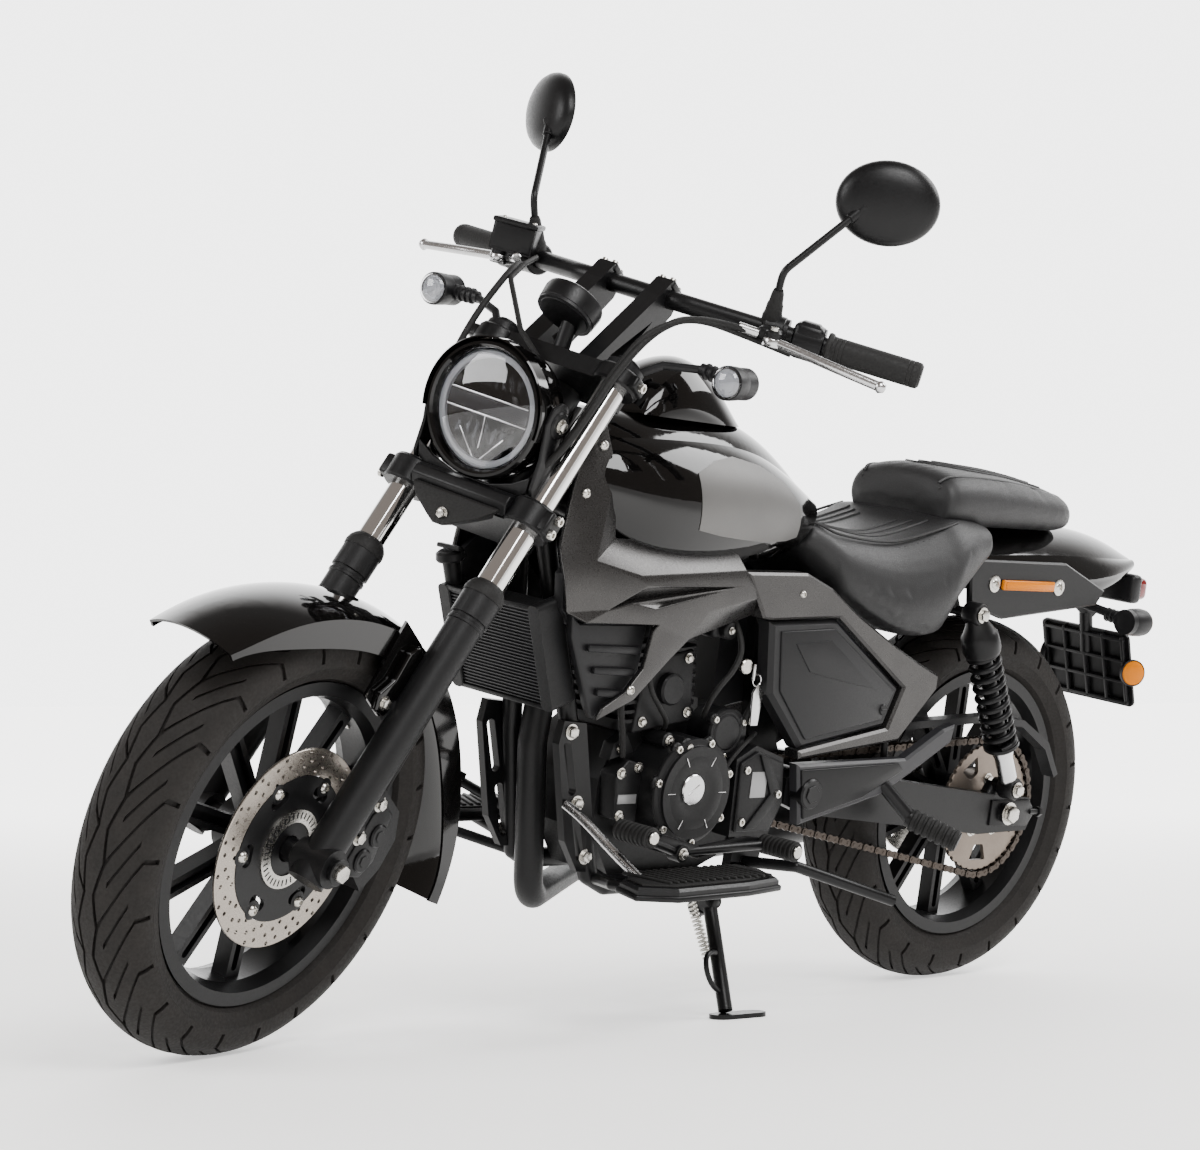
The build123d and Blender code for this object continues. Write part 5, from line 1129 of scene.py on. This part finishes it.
front_boss = [side_panel([(842, 316), (888, 326), (894, 392), (872, 416), (842, 408)], 60, 98, 4, 3),
              side_panel([(850, 424), (900, 412), (894, 438), (868, 452)], 60, 84, 3, 2),
              rod((786, 100, 440), (786, 130, 440), 13, 2, 24), rod((809, 62, 446), (809, 112, 446), 12, 2, 24)]
hand_over(joined(front_boss), "crankcase_bosses", "chassis", MATTE_BLACK)
hand_over(block((868, 98.6, 357), (38, 1.6, 14), 0.6, 2), "crankcase_label", "chassis", LABEL)
bolts("crankcase_bolts", "chassis", ZINC, bolt(6.5, 5), [(886, 98, 396), (880, 98, 332), (852, 98, 404),
                                                         (786, 130, 440), (809, 112, 446), (880, 84, 430)])
bolts("hanger_bolts", "chassis", ZINC, bolt(9, 7), on_both((990, 91, 458), (932, 91, 272), (962, 91, 352)))
barrel_plate = [side_panel([(850, 560), (862, 452), (740, 470), (752, 580)], 66, 86, 4, 3),
                rod((800, 84, 520), (800, 100, 520), 24, 3, 32), rod((830, 82, 590), (830, 98, 590), 15, 2, 24),
                side_panel([(760, 640), (860, 628), (866, 596), (752, 604)], 60, 92, 6, 3)]
hand_over(joined(barrel_plate), "cylinder_side_cover", "chassis", MATTE_BLACK)
bolts("cylinder_bolts", "chassis", ZINC, bolt(6, 5), [(838, 87, 548), (764, 87, 566), (846, 87, 470), (754, 87, 484),
                                                      (848, 93, 612), (772, 93, 622)])
wires = [tube([(700, 100, 640), (690, 126, 600), (706, 132, 560), (734, 128, 530), (742, 116, 500), (730, 100, 480)],
              4.5),
         tube([(850, 92, 600), (872, 112, 570), (868, 114, 528), (838, 112, 496), (806, 104, 470), (800, 84, 452)],
              4.0),
         tube([(640, 100, 640), (622, 120, 590), (628, 126, 540), (652, 124, 500), (656, 110, 462)], 6.0),
         tube([(880, 84, 610), (910, 96, 560), (906, 98, 500), (890, 96, 450), (880, 90, 420)], 5.0),
         tube([(610, 100, 452), (650, 128, 452), (690, 130, 420), (700, 122, 392)], 3.4)]
hand_over(joined(wires), "engine_wires", "chassis", RUBBER, crease=60)
throttle = [turned(((0, 0), (0, 30), (6, 33), (16, 33), (20, 27), (46, 27), (50, 31), (60, 31), (62, 0)),
                   (742, 40, 622), (-1, 0.35, 0.1), 40),
            block((712, 84, 620), (36, 30, 44), 6, 3), rod((706, 96, 612), (706, 112, 612), 14, 2, 24)]
hand_over(joined(throttle), "throttle_body", "chassis", MATTE_BLACK)
bolts("throttle_bolts", "chassis", ZINC, bolt(4.5, 4), [(722, 99, 634), (700, 99, 636), (706, 112, 612)])
hand_over(rod((675, 117, 560), (675, 126, 560), 12, 1.5, 24), "lock_barrel", "chassis", ZINC)
fob = [block((662, 129, 552), (5, 2.4, 26), 0.8, 2),
       side_panel([(640, 470), (656, 470), (659, 520), (652, 534), (645, 534), (637, 520)], 126, 130, 1.4, 2)]
fob.append(turned(((-0.9, 9), (0, 8), (0.9, 9), (0, 10), (-0.9, 9)), (654, 129, 540), LEFT, 24))
hand_over(joined(fob), "key_and_fob", "chassis", ALLOY)

# Radiator: pressed fins, cap and hose
CORE = Vector((1056, 0, 572))
CORE_OUT = Vector((0.94, 0, -0.34)).normalized()
CORE_UP = Vector((0.34, 0, 0.94)).normalized()
CORE_TURN = axes(CORE_OUT, LEFT, CORE_UP)
fin = block(ORIGIN, (3.4, 178, 1.5), 0, 1, CORE_TURN)
fin_moves = [Matrix.Translation(CORE + CORE_OUT * 17 + CORE_UP * (-70 + 5.2 * i)) for i in range(28)]
hand_over(copies(fin, fin_moves), "radiator_fins", "chassis", GREY_PLASTIC)
grille = [block(CORE + CORE_OUT * 19 + CORE_UP * h, (5, 184, 7), 1.6, 2, CORE_TURN) for h in (-76, 76)]
grille += [block(CORE + CORE_OUT * 19 + Vector((0, y, 0)), (5, 6, 152), 1.4, 2, CORE_TURN) for y in (-88, 88)]
neck = [rod((1082, -96, 640), (1094, -98, 678), 13, 1.5, 24)]
neck.append(turned(((0, 0), (0, 20), (3, 22), (12, 21), (15, 17), (15, 0)), (1093, -98, 676), (0.3, -0.02, 0.95), 32))
neck.append(block((1098, -98, 695), (10, 50, 7), 2, 2))
hose = tube([(1060, 96, 636), (1030, 92, 668), (990, 78, 650), (940, 66, 600), (880, 60, 580)], 13)
hand_over(joined(grille + neck + [hose]), "radiator_furniture", "chassis", MATTE_BLACK)

# Footboards: ribbed rubber pads, ribbed pegs, bright struts
rib = block(ORIGIN, (7, 76, 5), 1.8, 2, tilt(22, "Z"))
pad = sheet_of([(734, 206), (720, 236), (734, 278), (804, 290), (946, 296), (996, 276), (990, 240), (944, 212)],
               lambda x, y: (x, y, 275), Vector((0, 0, 4)), 1.6, 2)
pad_ribs = copies(rib, [Matrix.Translation((752 + 15 * i, 249 + 0.16 * i, 280)) for i in range(15)])
hand_over(both_sides(joined([pad, pad_ribs])), "footboard_rubbers", "chassis", RUBBER)
lip = sheet_of([(720, 194), (700, 232), (718, 290), (800, 304), (952, 310), (1014, 284), (1004, 232), (952, 202)],
               lambda x, y: (x, y, 257), Vector((0, 0, 9)), 3.6, 3)
hand_over(both_sides(lip), "footboard_rims", "chassis", SATIN_BLACK)
RING_SHAPE = ((0.12, 0), (0.25, 2.4), (0.7, 2.4), (0.85, 0))


def ribbed(start, end, radius, count):
    """A rubber sleeve with raised rings."""
    start, end = Vector(start), Vector(end)
    step = (end - start).length / count
    profile = [(0, 0), (0, radius)]
    for i in range(count):
        profile += [(i * step + step * share, radius + rise) for share, rise in RING_SHAPE]
    return turned(profile + [(count * step, radius), (count * step, 0)], start, end - start, 28)


pegs = [ribbed((972, 194, 338), (972, 262, 340), 13, 8), ribbed((664, 194, 304), (664, 262, 306), 13, 8)]
hand_over(joined(pegs), "gear_pedal_rubbers", "chassis", RUBBER)
tips = [rod((972, 262, 340), (972, 266, 340), 9, 1, 24), rod((664, 262, 306), (664, 266, 306), 9, 1, 24)]
hand_over(joined(tips), "gear_pedal_tips", "chassis", ZINC)
step_rubbers = both_sides(ribbed((302, 178, 324), (262, 246, 300), 16, 7))
hand_over(step_rubbers, "pillion_peg_rubbers", "chassis", RUBBER)
strut = tube([(985, 92, 352), (978, 120, 340), (966, 180, 302), (962, 236, 276)], 7.5)
hand_over(strut, "footboard_strut", "chassis", ALLOY, crease=60)
lever_plate = [side_panel([(890, 320), (880, 326), (800, 306), (792, 296), (800, 286), (884, 306)], 186, 193, 2.4, 2),
               side_panel([(800, 306), (700, 316), (664, 312), (664, 298), (700, 302), (800, 288)], 187, 194, 2.4, 2)]
hand_over(joined(lever_plate), "gear_lever_plates", "chassis", SATIN_BLACK)
bolts("gear_lever_bolts", "chassis", ZINC, bolt(7, 5), [(838, 197, 296)])

# Side stand: tang, pivot bolt and return spring
tang = tube([(696, 186, 72), (724, 190, 82), (742, 184, 112), (732, 172, 138), (708, 168, 132)], 4.2)
hand_over(joined([tang, rod((676, 100, 197), (676, 128, 194), 9, 1.2, 6)]), "side_stand_tang", "side_stand",
          SATIN_BLACK, crease=60)
spring_top, spring_low = Vector((724, 106, 222)), Vector((704, 150, 118))
stand_spring = coil(spring_top, spring_low - spring_top, 6.5, 1.7, (spring_low - spring_top).length, 18, 1)
stand_spring = hand_over(stand_spring, "side_stand_spring", "chassis", ZINC, crease=60, rides=False)
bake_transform(stand_spring)

# Cockpit: switch housings, lever perches, reservoir, grips, signals, instrument, mirrors and cables
BAR_END = BAR + Vector((-135, 412, -13))
BAR_WAY = (BAR + Vector((0, 90, 0)) - BAR_END).normalized()
BAR_UP = Vector((0, 0, 1))
BAR_AHEAD = BAR_UP.cross(BAR_WAY).normalized() * -1
BAR_TURN = axes(BAR_WAY, BAR_AHEAD, BAR_UP)
BAR_SPLAY = 0.3


def along_bar(distance, ahead=0, up=0):
    """A spot by its distance in from the left bar end, ahead of the bar and above it."""
    return BAR_END + BAR_WAY * distance + Vector((ahead, ahead * BAR_SPLAY, up))


def right_of(spot):
    return Vector((spot[0], -spot[1], spot[2]))


sleeve = [(-9, 0), (-9, 15), (-6, 18.6), (0, 19.4)]
for ring in (4, 10, 106, 112, 118):
    sleeve += [(ring, 19.3), (ring + 1, 18.8), (ring + 2, 19.3)]
sleeve += [(124, 19.4), (126, 22), (130, 23), (133, 22), (133, 14.5)]
hand_over(both_sides(turned(sleeve, BAR_END, BAR_WAY, 32)), "grip_sleeves", "steering", RUBBER, ("grips",), crease=25)
switch = [block(along_bar(160), (46, 46, 52), 9, 3, BAR_TURN),
          block(along_bar(160, 4, 22), (30, 30, 14), 4, 2, BAR_TURN),
          rod(along_bar(196), along_bar(228), 24.5, 3, 32)]
hand_over(both_sides(joined(switch)), "switch_housings", "steering", SATIN_BLACK)
buttons = [block(along_bar(152, -22, 8), (10, 6, 8), 1.6, 2, BAR_TURN),
           block(along_bar(168, -22, 8), (12, 6, 7), 1.6, 2, BAR_TURN),
           rod(along_bar(160, -22, -10), along_bar(160, -28, -10), 6, 1.4, 20)]
hand_over(both_sides(joined(buttons)), "switch_buttons", "steering", GREY_PLASTIC)
collar = turned(((138, 16), (138, 23), (141, 24), (146, 24), (148, 22), (148, 16)), BAR_END, BAR_WAY, 32)
hand_over(both_sides(collar), "switch_collars", "steering", ALLOY)
perch = [block(along_bar(208, 34, -2), (34, 44, 20), 6, 3, BAR_TURN),
         rod(along_bar(198, 58, -18), along_bar(198, 58, 6), 12, 1.6, 24)]
hand_over(both_sides(joined(perch)), "lever_perches", "steering", SATIN_BLACK)
adjuster = rod(along_bar(222, 48, -4), along_bar(250, 58, -2), 7, 1.2, 20)
hand_over(both_sides(adjuster), "lever_adjusters", "steering", ALLOY)
perch_top = along_bar(198, 58, 7)
bolts("perch_bolts", "steering", ZINC, bolt(6, 5, "socket"), [(*perch_top, *UP), (*right_of(perch_top), *UP)])
hinge, bend, tip = along_bar(198, 58, -8), along_bar(146, 66, -12), along_bar(28, 88, -22)
blade = [tube([hinge, hinge.lerp(bend, 0.5), bend, bend.lerp(tip, 0.35) + Vector((3, 1, 0)),
               bend.lerp(tip, 0.7) + Vector((2, 1, 0)), tip], 7.2, 3),
         turned(((-9, 0), (-7, 6), (0, 9.4), (7, 6), (9, 0)), tip, tip - bend, 24),
         rod(hinge + Vector((0, 0, -9)), hinge + Vector((0, 0, 5)), 13, 2, 28)]
hand_over(both_sides(joined(blade)), "lever_blades", "steering", ALLOY, ("levers",), crease=60)
TANK_SPOT = right_of(along_bar(208, 40, 24))
TANK_TURN = axes(Vector((0.35, -1, 0)).normalized(), Vector((1, 0.35, 0)).normalized(), UP)
cup = [block(TANK_SPOT, (68, 44, 44), 5, 3, TANK_TURN),
       block(TANK_SPOT + Vector((0, 0, 23)), (72, 48, 8), 3, 3, TANK_TURN)]
hand_over(joined(cup), "brake_reservoir", "steering", SATIN_BLACK)
bolts("reservoir_screws", "steering", ZINC, bolt(4, 2.5, "button"),
      [(*(TANK_SPOT + TANK_TURN @ Vector((s * 24, 0, 27))), *UP) for s in (1, -1)])

# Front signals: domed lamps on ribbed stalks
SIGNAL = on_fork(-15, 262, 858)
case = turned(((-36, 0), (-34, 12), (-24, 20), (-8, 23.6), (10, 24.6), (16, 24.4), (17, 22)), SIGNAL, AHEAD, 40)
stalk_ribs = [turned(((s, 9), (s + 2, 12), (s + 5, 12), (s + 7, 9)), SIGNAL + Vector((-14, -16, 1)), (0, -1, 0.06), 24)
              for s in (2, 12, 22, 32)]
hand_over(both_sides(joined([case] + stalk_ribs)), "front_signal_bodies", "steering", DARK_PLASTIC)
inner = turned(((8, 22), (15, 21.6), (17.5, 16), (16.6, 12), (18.4, 8), (18.6, 0)), SIGNAL, AHEAD, 40)
hand_over(both_sides(inner), "front_signal_reflectors", "steering", FROSTED)
bulb = turned(((14, 23), (19, 22), (24, 17), (27, 9), (27.6, 0)), SIGNAL, AHEAD, 40)
apply_modifier(bulb, "SOLIDIFY", thickness=1.6, offset=-1)
hand_over(both_sides(bulb), "front_signal_lenses", "steering", CLEAR)

# Instrument: bezel and dark glass
DIAL = on_fork(44, 0, 864)
DIAL_OUT = Vector((-0.6, 0, 0.8))
bezel = turned(((-16, 0), (-16, 38), (-10, 45), (10, 46.5), (16, 45), (18, 42), (16, 40), (15, 39)),
               DIAL, DIAL_OUT, 56)
hand_over(bezel, "instrument_bezel", "steering", SATIN_BLACK)
dial = turned(((14, 40), (16, 38), (17, 20), (17.2, 0)), DIAL, DIAL_OUT, 56)
hand_over(dial, "instrument_glass", "steering", GLOSS_BLACK)

# Mirrors: domed shell, bent stem, ball and rubber boot
dome = turned(((-8, 0.0), (-8, 0.95), (-6, 1.0), (0, 1.0), (6, 0.965), (12, 0.88), (17, 0.74), (21, 0.52), (23, 0.26),
               (23.6, 0)), ORIGIN, UP, 72)
dome.data.transform(Matrix.Translation(MIRROR_HEAD) @ axes(across * 75, tall * 61, MIRROR_OUT))
open_up(dome)
close_up(dome)
MIRROR_FOOT = along_bar(218, 6, 18)
ELBOW = MIRROR_FOOT + Vector((22, 11, 70))
KNUCKLE = MIRROR_HEAD + Vector((26, -22, -14))
stem = tube([MIRROR_FOOT, MIRROR_FOOT.lerp(ELBOW, 0.6), ELBOW, ELBOW.lerp(KNUCKLE, 0.15), ELBOW.lerp(KNUCKLE, 0.6),
             KNUCKLE], 5.6)
knuckle = [turned(((-12, 0), (-9, 9), (0, 12.5), (9, 9), (12, 0)), KNUCKLE, KNUCKLE - ELBOW, 28),
           rod(KNUCKLE, MIRROR_HEAD + MIRROR_OUT * 10, 11, 1.5, 24),
           rod(ELBOW.lerp(KNUCKLE, 0.82), KNUCKLE, 8, 1.2, 24)]
hand_over(both_sides(joined([dome, stem] + knuckle)), "mirror_arms", "steering", SATIN_BLACK, ("mirrors",), crease=40)
gaiter = turned(((-6, 0), (-6, 15), (4, 15), (10, 13), (22, 12), (26, 10.5), (40, 9), (46, 7)), MIRROR_FOOT,
                ELBOW - MIRROR_FOOT, 28)
hand_over(both_sides(gaiter), "mirror_gaiters", "steering", RUBBER)

# Cables from the bar down past the lamp, and risers' clamp bolts
runs = [tube([along_bar(238, 56, -4), along_bar(262, 66, -2), on_fork(26, 170, 915), on_fork(46, 134, 862),
              on_fork(44, 122, 790),
              on_fork(40, 118, 710), on_fork(38, 112, 642), on_fork(24, 84, 604), on_fork(-12, 76, 598),
              on_fork(-42, 64, 606)], 4.6),
        tube([along_bar(176, 18, -22), along_bar(240, 30, -14), on_fork(4, 160, 930), on_fork(34, 140, 880),
              on_fork(50, 132, 800),
              on_fork(48, 128, 712), on_fork(44, 120, 650), on_fork(28, 90, 612), on_fork(-8, 80, 606),
              on_fork(-40, 70, 616)], 5.4),
        tube([right_of(along_bar(176, 18, -22)), right_of(along_bar(236, 34, -16)), on_fork(6, -150, 930),
              on_fork(36, -134, 880),
              on_fork(50, -130, 800), on_fork(46, -124, 712), on_fork(40, -112, 644), on_fork(26, -84, 606),
              on_fork(-10, -76, 600),
              on_fork(-42, -66, 608)], 5.0),
        tube([on_fork(-34, 88, 440), on_fork(-30, 84, 470), on_fork(-66, 70, 520), on_fork(-88, 58, 560)], 4.4)]
hand_over(joined(runs), "control_cables", "steering", RUBBER, crease=60)
riser_caps = [block(on_fork(-62, y * 52, 996), (34, 34, 14), 4, 3, Matrix.Rotation(-RAKE, 4, "Y")) for y in (1, -1)]
hand_over(joined(riser_caps), "riser_caps", "steering", SATIN_BLACK)
bolts("riser_bolts", "steering", ZINC, bolt(5, 4, "socket"), [(*on_fork(-62 + u, y * 52 + v, 1002), *FORK_Z)
      for y in (1, -1) for u in (-11, 11) for v in (-9, 9)])

# Studio: pale floor with a painted glow, even white surround, soft boxes, and the camera at the photograph's place
SWEEP_WAY = (-0.72, -0.69, 0.0)
# Matte floor paint shows next to nothing but the machine's own soft shadow
FLOOR_PAINT_AND_GLOW = coated("pale_studio_floor", "#f7f6f4", "#f3f2f0", 40, (0.6, 0.75), 0.01, patch_mm=4000)
ground = FLOOR_PAINT_AND_GLOW.node_tree
# The floor glows by itself, faintly near the machine and more strongly towards the back: painted light standing in for
# a sweep lit from below, so the floor runs into the white behind with no line
spots = add_node(ground, "ShaderNodeTexCoord").outputs["Object"]
spread = add_node(ground, "ShaderNodeVectorMath", ((0, spots), (1, SWEEP_WAY)), operation="DOT_PRODUCT")
floor_glow = add_node(ground, "ShaderNodeMapRange", (("Value", spread.outputs["Value"]), ("From Min", -1.0),
                                              ("From Max", 8.0),
                                              ("To Min", 0.6), ("To Max", 3.4)), interpolation_type="SMOOTHSTEP")
# The floor's emission is painted light: the floor glows though it is no lamp
ground.nodes["Principled BSDF"].inputs["Emission Color"].default_value = linear("#ffffff")
ground.links.new(floor_glow.outputs["Result"], ground.nodes["Principled BSDF"].inputs["Emission Strength"])
clear_bench()
bpy.ops.mesh.primitive_plane_add(size=400, location=(0, 0, 0))
floor = bpy.context.object
floor.name = "studio_floor"
floor.data.materials.append(FLOOR_PAINT_AND_GLOW)

world = bpy.data.worlds.new("studio")
bpy.context.scene.world = world
world.use_nodes = True
# A lit white sweep stands behind the machine; the rest of the room is dimmer, so dark paint keeps its depth
room = world.node_tree
ways = add_node(room, "ShaderNodeTexCoord").outputs["Generated"]
sweep = add_node(room, "ShaderNodeVectorMath", ((0, ways), (1, SWEEP_WAY)), operation="DOT_PRODUCT")
glow = add_node(room, "ShaderNodeMapRange", (("Value", sweep.outputs["Value"]), ("From Min", 0.45), ("From Max", 0.85),
                                             ("To Min", 0.36), ("To Max", 4.4)), interpolation_type="SMOOTHSTEP")
warmth = add_node(room, "ShaderNodeMapRange", (("Value", sweep.outputs["Value"]), ("From Min", 0.1),
                                               ("From Max", 0.7)))
tint = add_node(room, "ShaderNodeMix", ((0, warmth.outputs["Result"]), (6, linear("#ecdfd5")), (7, linear("#fdfdfd"))),
                data_type="RGBA")
backing = room.nodes["Background"]
room.links.new(tint.outputs[2], backing.inputs["Color"])
room.links.new(glow.outputs["Result"], backing.inputs["Strength"])
for name, place, aim, size, power in (
        ("key_softbox", (1.5, 4.0, 4.2), (0, 0, 0.6), 2.6, 330),
        ("fill_softbox", (4.5, -1.5, 3.0), (0, 0, 0.5), 2.5, 160),
        ("back_strip", (-3.0, 1.5, 3.2), (0, 0, 0.6), 2.0, 140)):
    lamp = bpy.data.lights.new(name, "AREA")
    lamp.size = size
    lamp.energy = power
    light = bpy.data.objects.new(name, lamp)
    light.location = place
    light.rotation_euler = (Vector(aim) - Vector(place)).to_track_quat("-Z", "Y").to_euler()
    bpy.context.collection.objects.link(light)

shot = bpy.data.cameras.new("photo_camera")
shot.lens = 81.22
shot.sensor_width = 36.0
shot.shift_x = 0.00825
shot.shift_y = 0.015
camera = bpy.data.objects.new("photo_camera", shot)
camera.location = (2.9959, 2.8342, 0.4766)
camera.rotation_euler = (radians(92.25), radians(0.17), radians(136.11))
bpy.context.collection.objects.link(camera)
bpy.context.scene.camera = camera
